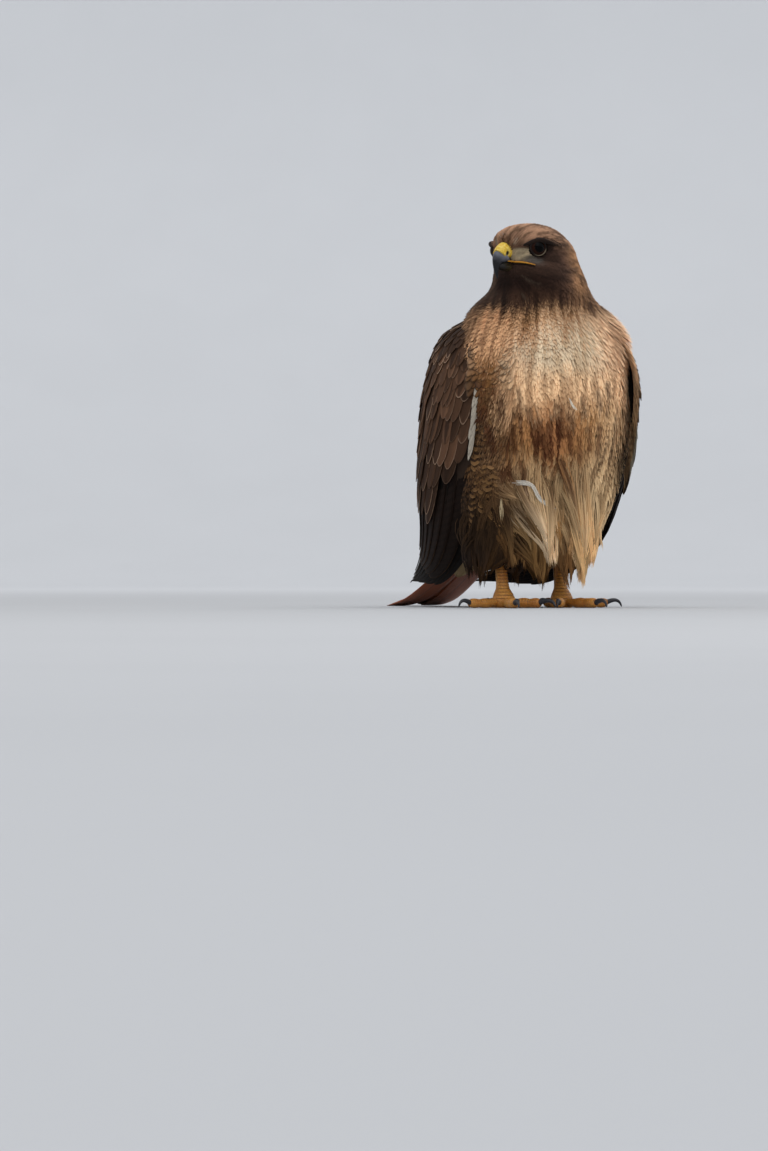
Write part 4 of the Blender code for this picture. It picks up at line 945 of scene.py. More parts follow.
HANKS = (  # root across and height, its spread, tip across, height, nearness and its spread, strands, tone
    (-22, 118, 8, 7, 8, 88, 50, 3.0, 180, "b9a07a"), (-8, 112, 9, 9, 17, 42, 40, 2.4, 320, "f3e2c2"),
    (6, 110, 8, 9, 17.5, 41, 40, 2.4, 260, "ecd5ad"), (-18, 104, 8, 10, -4, 60, 44, 5.0, 220, "a48a62"),
    (-24, 98, 8, 9, -14, 40, 32, 5.0, 220, "8a6f4a"), (-12, 92, 9, 10, 4, 28, 28, 5.0, 260, "8c7048"),
    (-30, 92, 7, 10, -25, 44, 18, 4.0, 160, "5f482c"), (18, 112, 9, 10, 26, 60, 36, 5.0, 240, "a98659"),
    (28, 110, 8, 11, 34, 50, 28, 4.5, 240, "bb9a6e"), (24, 92, 7, 10, 27, 28, 20, 3.0, 200, "6b4c2e"),
    (38, 108, 8, 12, 45, 21, 14, 1.6, 320, "dcc299"), (46, 102, 8, 13, 48, 19, 20, 2.0, 320, "e6c896"),
    (53, 102, 6, 13, 52, 36, 16, 2.5, 260, "e3c190"), (57, 96, 4, 10, 60, 58, 10, 4.0, 50, "d3bd97"),
    (30, 84, 8, 10, 33, 20, 18, 3.0, 240, "7d5f3d"),
    (-20, 88, 8, 10, -6, 44, 28, 4.0, 200, "6b5130"), (-12, 80, 8, 9, 4, 30, 22, 4.0, 200, "7d6140"),
    (-2, 76, 8, 9, 8, 24, 18, 4.0, 180, "5d452a"),
    # the dark hanks below hang lowest, under the belly and by the right thigh: their tones are partly painted shade
    (-42, 84, 7, 12, -46, 26, 12, 3.0, 200, "40301d"), (-52, 80, 6, 12, -52, 18, 6, 3.0, 200, "35271a"),
    (-38, 72, 6, 9, -40, 46, -2, 3.0, 160, "3b2b1a"), (-17, 66, 7, 8, -14, 22, -20, 3.0, 160, "4a3722"),
    (6, 64, 9, 8, 8, 20, -10, 4.0, 160, "66502f"), (-60, 76, 5, 12, -60, 24, -4, 2.0, 120, "33251a"),
)
LOCKS = 14


def curve_down(root, tip, drift):
    """Cubic lines from root to tip that leave the root downwards and hang at the tip: the four products
    of t and 1 - t, with the inner two places moved aside by the drift"""
    size = np.linalg.norm(tip - root, axis=-1, keepdims=True)
    first = root + (LOOK_FROM * 0.15 - UP + LOOK_RIGHT * drift[:, :1]) * size * 0.35
    last = tip + (UP + LOOK_RIGHT * drift[:, 1:]) * size * 0.3
    t = np.linspace(0, 1, 8)[None, :, None]
    return (root[:, None] * (1 - t) ** 3 + first[:, None] * 3 * t * (1 - t) ** 2 + last[:, None] * 3 * t**2 * (1 - t)
            + tip[:, None] * t**3)


parts = []
for across, height, wide, tall, tip_across, tip_height, near, tip_spread, count, tone in HANKS:
    # strands cling together in locks, and each lock has a place, a bend and a tone of its own
    lock = rng.integers(0, LOCKS, count)
    spread = rng.normal(0, 1, (LOCKS, 2))[lock] + rng.normal(0, 0.3, (count, 2))
    root = on_front(across + wide * spread[:, 0], height + tall * spread[:, 1])
    tip = LOOK_RIGHT * tip_across + LOOK_FROM * near + UP * tip_height
    tip = tip + rng.normal(0, tip_spread, (LOCKS, 3))[lock] + rng.normal(0, 0.5, (count, 3))
    along = rng.uniform(0.72, 1.0, LOCKS)[lock] * rng.uniform(0.88, 1.04, count)
    tip = root + (tip - root) * along[:, None]
    drift = (rng.normal(0, 1, (LOCKS, 2))[lock] + rng.normal(0, 0.2, (count, 2))) * (0.42, 0.16)
    shade = hex_colour(tone) * (1.32, 1.14, 1.0) * (rng.uniform(0.45, 1.25, LOCKS)[lock] * rng.uniform(0.75, 1.2, count))[:, None]
    parts.append((root, tip, drift, shade))
roots, tips, drifts, tones = [np.concatenate(part) for part in zip(*parts)]
keep = (np.abs(flesh_depth(roots)) < 1.5) & (roots @ LOOK_FROM > 5) & (roots[:, 2] > 40)  # the others missed the flesh
keep &= unit(slope_of(flesh_depth, roots)) @ LOOK_FROM > 0.2
roots, tips, drifts, tones = roots[keep], tips[keep], drifts[keep], tones[keep]
local, _, _ = paint_body(roots, rng.uniform(-1, 1, len(roots)))
lines = curve_down(roots, tips, drifts)
for _ in range(2):
    flat = lines.reshape(-1, 3)
    depth, slope = flesh_depth(flat), slope_of(flesh_depth, flat)
    want = np.tile(np.linspace(-1.0, 2.5, 8), len(lines)) + np.repeat(rng.uniform(0, 2.0, len(lines)), 8)
    size = np.maximum(np.sum(slope * slope, axis=-1, keepdims=True), 0.1)
    lines = (flat + slope * (np.maximum(want - depth, 0)[:, None] / size)).reshape(lines.shape)
for name, chosen in (("loose_belly", roots @ LOOK_RIGHT < 20), ("loose_thigh", roots @ LOOK_RIGHT >= 20)):
    add_strands(name, lines[chosen], tones[chosen], 0.95, local["ground"][chosen])

WISPS = (  # places along the wisp as across and height, strands, breadth, stand at start and end, tone
    (((0, -20.8, 118.3), (0.33, -4.7, 116.4), (0.66, 4.7, 102.2), (1, 20.8, 93.7)), 34, 0.9, 6, 12, "efe7d8"),
    (((0, 30, 199), (0.5, 34.5, 191), (1, 39.6, 185)), 16, 0.6, 3, 5, "e6ddca"),
    (((0, -32.5, 104), (0.5, -32.5, 94), (1, -31.5, 80)), 16, 0.8, 4, 8, "d2bc94"),
)
lines, tones = [], []
for path, count, breadth, low, high, tone in WISPS:
    # down feathers that stick out: each strand follows a part of the wisp's line
    t = rng.uniform(0, 0.55, count)[:, None] + rng.uniform(0.3, 0.45, count)[:, None] * np.linspace(0, 1, 8)
    across, height = smooth(path, t)
    aside = rng.normal(0, breadth, (count, 2))
    places = on_front((across + aside[:, :1]).ravel(), (height + aside[:, 1:]).ravel()).reshape(count, 8, 3)
    lines.append(places + LOOK_FROM * (low + (high - low) * ease(t, 0.1, 0.8))[..., None])
    tones.append(hex_colour(tone) * rng.uniform(0.75, 1.1, (count, 1)))
add_strands("white_wisps", np.concatenate(lines), np.concatenate(tones), 0.42)

turn = rng.uniform(0, 2 * np.pi, 160)
hand = np.repeat((-1, 1), 80)
around = np.stack([np.sin(turn), -np.cos(turn), 0 * turn], axis=-1)
root = np.stack([32 * hand + 5.5 * around[:, 0], 7 + 6.2 * around[:, 1], 49 + rng.normal(0, 0.8, 160)], axis=-1)
tip = root + around * 1.8 - UP * rng.uniform(6, 9, 160)[:, None]
lines = root[:, None] + (tip - root)[:, None] * np.linspace(0, 1, 8)[None, :, None]
add_strands("ankle_fringe", lines, hex_colour("b3a283") * rng.uniform(0.7, 1.1, (160, 1)), 1.2)

# %% [markdown]
# Wing feathers are firm vanes. Each is a closed, thin mesh with an upper and an under side, laid on the
# wing's surface by its shares along and across. The front edge of each lies over the back edge of the
# one before it, as on a folded wing.


# %% Firm vanes
def thicken(corners, outs, thick):
    """A second side under the first, thick lower along the way out"""
    return np.stack([corners, corners - outs * thick], axis=1)


def closed_faces(rows, columns, count):
    """Faces of both sides and of the rim of a grid that has a second side behind it"""
    half = rows * columns
    top = grid_faces(rows, columns)
    grid = np.arange(half).reshape(rows, columns)
    around = np.concatenate([grid[:-1, 0], grid[-1, :-1], grid[:0:-1, -1], grid[0, :0:-1]])
    after = np.roll(around, -1)
    rim = np.stack([after, around, around + half, after + half], axis=-1)
    faces = np.concatenate([top, top[:, ::-1] + half, rim])
    return (faces[None] + np.arange(count)[:, None, None] * 2 * half).reshape(-1, 4)


VANE_OUTLINES = {
    "round": ((0, 0.55), (0.2, 0.9), (0.5, 1.0), (0.75, 0.97), (0.88, 0.78), (0.96, 0.45), (1.0, 0.12)),
    "long": ((0, 0.5), (0.15, 0.85), (0.5, 1.0), (0.85, 0.92), (0.94, 0.7), (0.98, 0.42), (1.0, 0.14)),
    "pointed": ((0, 0.5), (0.2, 0.95), (0.6, 1.0), (0.82, 0.74), (0.93, 0.48), (0.98, 0.26), (1.0, 0.08)),
    "soft": ((0, 0.6), (0.3, 0.95), (0.6, 1.0), (0.85, 0.7), (1.0, 0.1)),
}


def vane_rows(rows):
    """Shares of the rows, closer together towards the tip: 1 - (1 - t)^1.7"""
    return 1 - (1 - np.linspace(0, 1, rows)) ** 1.7


def wing_vanes(side, root, tip, width, lift, outline, rows=9, columns=5, thick=0.4, offset=None, colours=None, traits=None):
    """Corners and values of vanes from (along, across) of root and tip and the lift over the surface"""
    count = len(width)
    shares = vane_rows(rows)
    profile = smooth(VANE_OUTLINES[outline], shares)[0]
    across = np.linspace(-1, 1, columns)
    u = root[0][:, None] + (tip[0] - root[0])[:, None] * shares
    v = root[1][:, None] + (tip[1] - root[1])[:, None] * shares
    start, _, _, breadth = on_sheet(side, u, v)
    reach = across * (width[:, None] / 2 * profile)[..., None] * side
    corners, outs, _, _ = on_sheet(side, u[..., None] + 0 * reach, v[..., None] + reach / breadth[..., None])
    rise = lift[0][:, None] + (lift[1] - lift[0])[:, None] * shares**0.8
    shaft = 0.3 * np.exp(-(across / 0.12) ** 2) if width[0] > 5 else 0
    corners = corners + outs * (rise[..., None] - reach * 0.08 + shaft)[..., None]
    length = np.linalg.norm(start[:, -1] - start[:, 0], axis=-1)
    offset = rng.random(count) * 9 if offset is None else offset
    values = coat_values(count, rows, columns, length, width / 2, shares, profile, colours, offset, traits)
    patch = np.stack(np.broadcast_arrays(
        (0.05 + 0.9 * v[:, :1, None]) + across * 0.0014 + 0 * shares[None, :, None],
        (0.05 + 0.9 * u[:, :1, None]) + shares[None, :, None] * 0.003 + 0 * across), axis=-1)
    both = {key: np.repeat(value[:, None], 2, axis=1) for key, value in values.items()}
    return thicken(corners, outs, thick), both, np.repeat(patch[:, None], 2, axis=1), rows, columns


def join_vanes(name, batches, material, replaces=()):
    """One piece from batches of vanes"""
    corners, faces, maps, values, start = [], [], [], {}, 0
    for points, both, patch, rows, columns in batches:
        corners.append(points.reshape(-1, 3))
        maps.append(patch.reshape(-1, 2))
        faces.append(closed_faces(rows, columns, len(points)) + start)
        start += points.size // 3
        for key, value in both.items():
            values.setdefault(key, []).append(value.reshape(-1, 3))
    values = {key: np.concatenate(value) for key, value in values.items()}
    faces = np.concatenate(faces)
    print(f"{name}: {sum(len(batch[0]) for batch in batches)} vanes, {2 * len(faces)} triangles")
    return add_piece(name, np.concatenate(corners), faces, material, replaces, values, np.concatenate(maps))


def even(count, first, last, power=0.87):
    """Shares from first to last, crowded as the wing's surface widens to the back"""
    return first + (last - first) * np.linspace(0, 1, count) ** power


def plain_colours(count, ground, mark, rim, spread, traits):
    shade = 1 + rng.normal(0, spread, (count, 1))
    colours = {"ground": hex_colour(ground) * shade, "mark": hex_colour(mark) * shade, "rim": hex_colour(rim) * shade}
    return colours, np.tile(np.array(traits, float), (count, 1))


def jitter(values, size):
    return values + rng.normal(0, size, np.shape(values))


# %% [markdown]
# The tiers overlap like shingles: long flight feathers below, then greater, median and small coverts,
# each tier over the next. Coverts are warm dark brown, and worn pale tips on some of them give the wing
# its broken scallops; the flight feathers are nearly black. In front the side feathers of the breast
# lie over the wing's edge, and a strip of white coverts shows between.

# %% Wings
COVERT_TIERS = (  # count, across first and last, along of roots, along of tips, width, lift at root and tip
    (15, (0.12, 1.0), (0.36, 0.38), (0.66, 0.63), 21, (-5.6, -0.4)),
    (16, (0.10, 1.0), (0.32, 0.33), (0.575, 0.55), 20, (-5.2, -0.1)),
    (17, (0.10, 1.0), (0.28, 0.29), (0.50, 0.485), 18, (-5.0, 0.0)),
    (18, (0.09, 1.0), (0.235, 0.245), (0.44, 0.43), 16.5, (-4.8, 0.1)),
    (18, (0.08, 1.0), (0.20, 0.20), (0.386, 0.378), 15.5, (-4.4, 0.2)),
    (18, (0.07, 1.0), (0.165, 0.165), (0.336, 0.33), 15, (-4.2, 0.3)),
    (19, (0.07, 1.0), (0.13, 0.13), (0.29, 0.285), 14, (-4.0, 0.35)),
    (19, (0.06, 1.0), (0.10, 0.10), (0.248, 0.243), 13, (-3.8, 0.4)),
    (19, (0.06, 1.0), (0.07, 0.07), (0.209, 0.205), 12.5, (-3.6, 0.5)),
    (18, (0.05, 1.0), (0.04, 0.04), (0.172, 0.169), 12, (-3.4, 0.6)),
    (18, (0.05, 1.0), (0.015, 0.015), (0.137, 0.135), 11.5, (-3.2, 0.7)),
    (17, (0.05, 1.0), (-0.01, -0.01), (0.104, 0.102), 11, (-3.0, 0.8)),
    (16, (0.05, 1.0), (-0.035, -0.035), (0.072, 0.07), 10.5, (-3.0, 0.9)),
    (14, (0.05, 1.0), (-0.055, -0.055), (0.04, 0.038), 10, (-3.0, 1.0)),
)

for side, name in ((1, "left"), (-1, "right")):
    flights = []
    count = 10
    k = np.linspace(0, 1, count)
    tips = np.interp(k * 5, range(6), (0.930, 0.970, 1.0, 0.995, 0.970, 0.945))
    colours, traits = plain_colours(count, "120d0a", "0b0806", "4a3626", 0.1, (0.0, 0.3, 0.5))
    flights.append(wing_vanes(side, (np.full(count, 0.34), 0.06 + 0.38 * k), (tips, 0.03 + 0.57 * k), np.full(count, 24.0),
                              (-7.8 + 1.75 * k, -3.0 + 1.5 * k), "pointed", 16, 7, 0.5, None, colours, traits))
    count = 13
    across = even(count, 0.16, 0.97)
    k = np.linspace(0, 1, count)
    colours, traits = plain_colours(count, "1f1510", "100b08", "5e452f", 0.12, (0.0, 0.4, 0.6))
    flights.append(wing_vanes(side, (0.44 + 0.02 * k, across), (jitter(0.88 - 0.08 * k, 0.006), across),
                              np.full(count, 29.0), (-6.6 + 0 * k, -0.9 + 0.1 * k), "long", 14, 7, 0.5,
                              None, colours, traits))
    join_vanes(f"flight_feathers_{name}", flights, FIRM_PLUME)
    coverts = []
    for number, (count, span, roots_u, tips_u, width, lift) in enumerate(COVERT_TIERS):
        across = jitter(even(count, *span), 0.009)
        share = np.linspace(0, 1, count)
        root_u = roots_u[0] + (roots_u[1] - roots_u[0]) * share
        tip_u = jitter(tips_u[0] + (tips_u[1] - tips_u[0]) * share, 0.009)
        keep = tip_u < 0.40 + 0.85 * across
        count, across, root_u, tip_u = keep.sum(), across[keep], root_u[keep], tip_u[keep]
        if count == 0:
            continue
        colours, traits = plain_colours(count, "5e4331", "2a1c13", "b4957c", 0.1, (0.6, 0.0, 1.0))
        colours["ground"] = colours["ground"] * rng.choice((0.55, 0.8, 1.0, 1.3), (count, 1))
        colours["ground"] = toward(colours["ground"], "2d2018", 0.5 * ease(tip_u, 0.42, 0.66))
        front = 1 - ease(across, *((0.10, 0.24) if side < 0 else (0.34, 0.54)))
        colours["ground"] = toward(colours["ground"], "271c16", front * 0.6)
        wrist = 0.6 * (side < 0) * (1 - ease(tip_u, 0.14, 0.24)) * ease(across, 0.22, 0.42) * (1 - ease(across, 0.7, 0.9))
        colours["ground"] = toward(colours["ground"], "16100d", wrist)
        traits[:, 2] = rng.choice((0.08, 0.2, 0.45, 0.9), count) * (1 - 0.7 * front)
        traits[:, 0] = rng.uniform(0.1, 0.8, count)
        coverts.append(wing_vanes(side, (root_u, across), (tip_u, jitter(across, 0.014)),
                                  width * rng.uniform(0.85, 1.15, count), (np.full(count, lift[0]), jitter(np.full(count, lift[1]), 0.3)),
                                  "round", 8, 5, 0.35, None, colours, traits))
    join_vanes(f"coverts_{name}", coverts, FIRM_PLUME)
    # white coverts along the front edge, and over that edge the side feathers of the breast
    count = 22
    u = np.linspace(0.25, 0.42, count) if side < 0 else np.linspace(0.36, 0.47, count)
    colours, traits = plain_colours(count, "b3a999" if side < 0 else "857c6b", "8a8170", "c5beb0", 0.06, (0, 0, 0))
    start = 0.08 if side < 0 else -0.12
    strips = [wing_vanes(side, (u, jitter(0 * u + start, 0.004)), (u + 0.07, jitter(0 * u + start + 0.012, 0.005)), 0 * u + (4.4 if side < 0 else 7),
                         (0 * u - 1.0, jitter(0 * u + (1.9 if side < 0 else 4.2), 0.2)), "soft", 5, 3, 0.2, None, colours, traits)]
    join_vanes(f"white_edge_{name}", strips, FIRM_PLUME)
    count = 1500
    k = np.arange(count) + 0.5
    u = 0.01 + 0.52 * k / count
    inner = np.interp(u, (0, 0.12, 0.24, 0.30, 0.5), (0.20, 0.12, 0.07, 0.05, 0.0) if side < 0 else (0.5, 0.42, 0.16, 0.0, -0.05))
    v = -0.16 + (inner + 0.16) * ((k * GOLDEN) % 1)
    spots, _, _, _ = on_sheet(side, u, v)
    inward = spots - np.array((side, 0, 0)) * 8 * ease(v, -0.1, 0.1)[:, None] + np.array((0, -14.0, 0)) * ease(v, -0.16, 0.2)[:, None]
    colours, traits, offset = paint_body(inward, rng.uniform(-1, 1, count))
    if side > 0:
        colours["ground"] = toward(colours["ground"], "5d4530", ease(v, 0.04, 0.2))
        edge = ease(v, -0.17, -0.13) * ease(u, 0.2, 0.25)
        colours["ground"], traits[:, 1] = toward(colours["ground"], "1f1813", edge), traits[:, 1] * (1 - edge)
    strips = [wing_vanes(side, (u, v), (u + rng.uniform(0.04, 0.065, count), v + rng.normal(0.01, 0.012, count)),
                         rng.uniform(2.2, 3.2, count), (np.full(count, -2.0), 1.6 + rng.normal(0, 0.35, count)
                                                        + 1.2 * ease(-v, -0.1, 0.1)),
                         "soft", 5, 3, 0.15, offset, colours, traits)]
    # broader ones on the shoulder, whose dark edges, painted shade where each overlaps the next, give it scallops
    count = 170
    k = np.arange(count) + 0.5
    u, v = 0.0 + 0.26 * k / count, -0.15 + (0.30 if side < 0 else 0.42) * ((k * GOLDEN) % 1)
    spots, _, _, _ = on_sheet(side, u, v)
    colours, traits, offset = paint_body(spots - np.array((side, 0, 0)) * 8, rng.uniform(-1, 1, count))
    colours["ground"] = toward(colours["ground"], "54402f" if side < 0 else "6b4f38", ease(v, 0.0, 0.2))
    colours["rim"], traits = colours["ground"] * 0.35, traits * 0 + (0, 0, 0.8)
    strips.append(wing_vanes(side, (u, v), (u + rng.uniform(0.05, 0.07, count), v + rng.normal(0.01, 0.02, count)),
                             rng.uniform(7, 10, count), (np.full(count, -1.5), 2.4 + rng.normal(0, 0.5, count)),
                             "round", 5, 3, 0.15, offset, colours, traits))
    join_vanes(f"side_coat_{name}", strips, SOFT_PLUME)

# %% [markdown]
# Under its feathers the wing has a body of flesh and bone, a slab that ends where only feathers go on.

# %% The wings' cores
CORE_THICK = ((0.0, 14), (0.5, 13), (0.62, 8), (0.72, 4), (0.80, 1.6))
CORE_SINK = ((0.0, 3.4), (0.3, 4.2), (0.6, 4.6), (0.80, 4.0))
for side, name in ((1, "left"), (-1, "right")):
    u, v = np.meshgrid(np.linspace(0, 0.8, 40), np.linspace(0.03, 0.97, 26), indexing="ij")
    if side < 0:
        v = v[:, ::-1]
    corners, outs, _, _ = on_sheet(side, u, v)
    sink, thick = smooth(CORE_SINK, u)[0], smooth(CORE_THICK, u)[0] * (0.35 + 0.65 * np.sin(np.pi * v))
    points = thicken((corners - outs * sink[..., None])[None], outs[None], thick[None, ..., None])
    flat = points.reshape(-1, 3)
    colours, traits = plain_colours(len(flat), "33271f", "221a15", "4a392d", 0.0, (0, 0, 0))
    add_piece(f"wing_core_{name}", flat, closed_faces(*u.shape, 1), SOFT_PLUME, (f"wing_{name}",),
              dict(colours, traits=traits, share=traits + 0.5, span=traits + 3))

# %% [markdown]
# The tail has twelve long feathers in six pairs, the middle pair on top. Above they are brick red with
# a thin dark band near the tip and a pale end; short coverts hide their roots, red brown above and
# cream below.

# %% Tail
TAIL_LINE = ((0, 50, 100), (1 / 6, 78, 84), (2 / 6, 116, 60), (3 / 6, 160, 36), (4 / 6, 206, 16), (5 / 6, 240, 8), (1, 264, 6))
TAIL_PAIRS, TAIL_WIDTH = 6, 27.0
TAIL_UP = unit(np.array((0, 0.3, 0.95)))
RED_PLUME, tree, shader = new_material("tail_feather_keratin", Roughness=0.55, Specular_IOR_Level=0.35, Sheen_Weight=0.1)
ground = add_node(tree, "Attribute", {"attribute_name": "ground"}).outputs["Vector"]
span = add_node(tree, "SeparateXYZ", i0=add_node(tree, "Attribute", {"attribute_name": "span"}).outputs["Vector"])
traits = add_node(tree, "SeparateXYZ", i0=add_node(tree, "Attribute", {"attribute_name": "traits"}).outputs["Vector"])
along_mm, across_mm, rim_mm = span.outputs
to_tip, red, _ = traits.outputs
grain = add_node(tree, "TexNoise", i0=add_node(tree, "TexCoord").outputs["Object"], Scale=160.0, Detail=3.0).outputs[0]
from_tip = math(tree, "MULTIPLY_ADD", grain, 3.0, math(tree, "SUBTRACT", to_tip, along_mm))
band = math(tree, "MULTIPLY", ramp(tree, from_tip, 11.0, 12.5), ramp(tree, from_tip, 17.0, 18.5, 1.0, 0.0))
pale_end = ramp(tree, from_tip, 5.5, 8.0, 1.0, 0.0)
slant = math(tree, "MULTIPLY_ADD", math(tree, "ABSOLUTE", across_mm), -0.9, along_mm)
barb = math(tree, "MULTIPLY_ADD", math(tree, "SINE", math(tree, "MULTIPLY", slant, 2 * np.pi / BARB_PITCH)), 0.5, grain)
vane = mix(tree, math(tree, "MULTIPLY", band, red), ground, colour_value("1f1511"))
vane = mix(tree, math(tree, "MULTIPLY", pale_end, red), vane, colour_value("cbb193"))
shaft = ramp(tree, math(tree, "ABSOLUTE", across_mm), 0.5, 0.9, 1.0, 0.0)
vane = mix(tree, math(tree, "MULTIPLY", shaft, 0.55), vane, colour_value("5d3522"))
vane = add_node(tree, "VectorMath", {"operation": "SCALE"}, i0=vane, Scale=math(tree, "MULTIPLY_ADD", barb, 0.12, 0.88)).outputs[0]
tree.links.new(vane, shader.inputs["Base Color"])
tree.links.new(add_node(tree, "Bump", Strength=0.35, Distance=0.0004, Height=barb).outputs[0], shader.inputs["Normal"])


def tail_vanes(start, end, out, down, width, outline, rows, columns, thick, colours, traits, below=False):
    """Vanes along the tail's line from share start to end, out to the side and down from it"""
    count = len(out)
    shares = vane_rows(rows)
    profile = smooth(VANE_OUTLINES[outline], shares)[0]
    across = np.linspace(-1, 1, columns) * (-1 if below else 1)
    along = start[:, None] + (end - start)[:, None] * shares
    x, y, z = [part[..., None] for part in smooth([(key, 0, y, z) for key, y, z in TAIL_LINE], along)]
    offset = across * (width[:, None] / 2 * profile)[..., None]
    fan = (0.35 + 0.65 * along)[..., None]
    drop = down[:, None, None] + 3.5 * (1 - along[..., None]) ** 2 + 0.03 * np.abs(offset) * (1 - along[..., None])
    shaft = 0.35 * np.exp(-(across / 0.12) ** 2)
    corners = np.stack(np.broadcast_arrays(x + out[:, None, None] * fan + offset, y, z - drop + shaft), axis=-1)
    outs = np.broadcast_to(TAIL_UP * (-1 if below else 1), corners.shape)
    length = np.linalg.norm(corners[:, -1, 0] - corners[:, 0, 0], axis=-1)
    values = coat_values(count, rows, columns, length, width / 2, shares, profile, colours, rng.random(count), traits)
    patch = np.stack(np.broadcast_arrays(
        0.5 + (out[:, None, None] + offset) / 110, along[..., None] * 0.5 + 0.25 + 0.06 * down[:, None, None] / 8), axis=-1)
    both = {key: np.repeat(value[:, None], 2, axis=1) for key, value in values.items()}
    points = thicken(corners, outs, thick)
    points[..., 2] = np.maximum(points[..., 2], 0.05)
    return points, both, np.repeat(patch[:, None], 2, axis=1), rows, columns


pair = np.repeat(np.arange(TAIL_PAIRS), 2)
hand = np.tile((-1, 1), TAIL_PAIRS)
colours, traits = plain_colours(12, "9c5028", "9c5028", "9c5028", 0.05, (230, 1, 0))
end = 1 - 0.006 * pair
vanes = tail_vanes(np.full(12, 0.10), end, hand * (2.2 + 3.7 * pair), 1.1 * pair + 0.5 * (hand < 0), np.full(12, TAIL_WIDTH),
                   "long", 22, 9, 0.5, colours, traits)
vanes[1]["traits"][..., 0] = vanes[1]["span"][..., 0].max(axis=(1, 2, 3), keepdims=True)
join_vanes("tail_feathers", [vanes], RED_PLUME, ("tail",))

cover = []
for row, (start, stop, number, width, colour) in enumerate((
        (0.02, 0.36, 7, 24, "7a4a2c"), (-0.0, 0.28, 7, 22, "6a4530"), (0.0, 0.20, 7, 22, "54402f"))):
    colours, traits = plain_colours(number, colour, "40291c", "a98258", 0.08, (0.4, 0, 0.5))
    out = np.linspace(-17, 17, number)
    cover.append(tail_vanes(np.full(number, start), jitter(np.full(number, stop), 0.01), out,
                            -2.2 - 1.2 * row + (out / 12) ** 2 * 2.2, np.full(number, float(width)), "round", 9, 7, 0.4, colours, traits))
for row, (start, stop, number, width) in enumerate(((0.03, 0.46, 7, 24), (0.02, 0.36, 7, 24), (0.0, 0.26, 7, 22))):
    colours, traits = plain_colours(number, "b9a279", "8c6c45", "cdbb95", 0.06, (0.2, 0.1, 0.4))
    out = np.linspace(-15, 15, number)
    thickness = 12 - 3.0 * row
    cover.append(tail_vanes(np.full(number, start), jitter(np.full(number, stop), 0.01), out,
                            9.5 + 3.0 * row - (out / 12) ** 2 * 2.0, np.full(number, float(width)), "round", 9, 7, 0.4, colours, traits, True))
join_vanes("tail_coverts", cover, FIRM_PLUME)

x = np.linspace(0, 2 * np.pi, 25)[:-1]
along = np.linspace(0, 0.5, 18)
half = smooth(((0.0, 22), (0.2, 24), (0.4, 17), (0.52, 8)), along)[0][:, None]
thick = smooth(((0.0, 22), (0.2, 17), (0.4, 8), (0.52, 3.5)), along)[0][:, None]
_, y, z = [part[:, None] for part in smooth([(key, 0, y, z) for key, y, z in TAIL_LINE], along)]
rings = np.stack(np.broadcast_arrays(half * np.sin(x), y, z - thick * (0.55 - 0.5 * np.cos(x)) - 1.0), axis=-1)
colours, traits = plain_colours(rings.size // 3 + 48, "6f4c33", "40291c", "8a6543", 0.0, (0, 0, 0))
rings = close_ends(rings)
add_piece("tail_root", rings, grid_faces(*rings.shape[:2], closed=True)[:, ::-1], SOFT_PLUME, (),
          dict(colours, traits=traits, share=traits + 0.5, span=traits + 3))

# %% [markdown]
# The face. A hawk looks fierce because a bony ridge shades its eye. The eyeball is a glossy sphere, dark
# red brown with a black pupil; the lids are a ring of bare skin; and the ridge is a thick tapered roll
# of skin under short feathers; roll and feathers are near black below, partly as painted shade.


# %% Rolls, rings and eyes
def add_loft(name, rings, material, replaces=(), values=None):
    """A closed skin over rings of corners, drawn together at both ends and turned outwards"""
    rings = close_ends(np.asarray(rings, float))
    piece = add_piece(name, rings, grid_faces(*rings.shape[:2], closed=True), material, replaces, values)
    face_out(piece)
    return piece


def face_out(piece):
    """Merges doubled corners and turns every face outwards"""
    import bmesh
    shape = bmesh.new()
    shape.from_mesh(piece.data)
    bmesh.ops.remove_doubles(shape, verts=shape.verts, dist=1e-6)
    bmesh.ops.recalc_face_normals(shape, faces=shape.faces)
    for face in shape.faces:
        face.smooth = True
    shape.to_mesh(piece.data)
    shape.free()


def tube_rings(line, radii, columns, squash=1.0):
    """Rings about a line: radius times cosine across plus radius times sine up, upright to the line"""
    line, radii = np.asarray(line, float), np.broadcast_to(radii, len(line))
    ways = unit(np.gradient(line, axis=0))
    across = unit(np.cross(UP + 0 * ways, ways))
    up = np.cross(ways, across)
    turn = np.linspace(0, 2 * np.pi, columns + 1)[:-1]
    return (line[:, None] + across[:, None] * (radii[:, None] * np.cos(turn))[..., None]
            + up[:, None] * (radii[:, None] * squash * np.sin(turn))[..., None])


def head_side(ahead, height):
    """Half the head's width there, found by stepping out until the depth is zero"""
    aside = np.full(np.shape(ahead), 25.0)
    for _ in range(25):
        aside = aside - 0.7 * flesh_depth(in_head(ahead, aside, height))
    return np.clip(aside, 2, 45)


IRIS, tree, shader = new_material("eye", Roughness=0.12, IOR=1.38, Specular_IOR_Level=0.08)
spread = add_node(tree, "Attribute", {"attribute_name": "spread"}).outputs["Fac"]
fibre = add_node(tree, "TexNoise", i0=add_node(tree, "TexCoord").outputs["Object"], Scale=900.0, Detail=3.0).outputs[0]
shade = mix(tree, fibre, colour_value("120906"), colour_value("2e160c"))
shade = mix(tree, ramp(tree, spread, 0.5, 0.57, 1.0, 0.0), shade, colour_value("030303"))
shade = mix(tree, ramp(tree, spread, 0.74, 0.84), shade, colour_value("080504"))
tree.links.new(shade, shader.inputs["Base Color"])

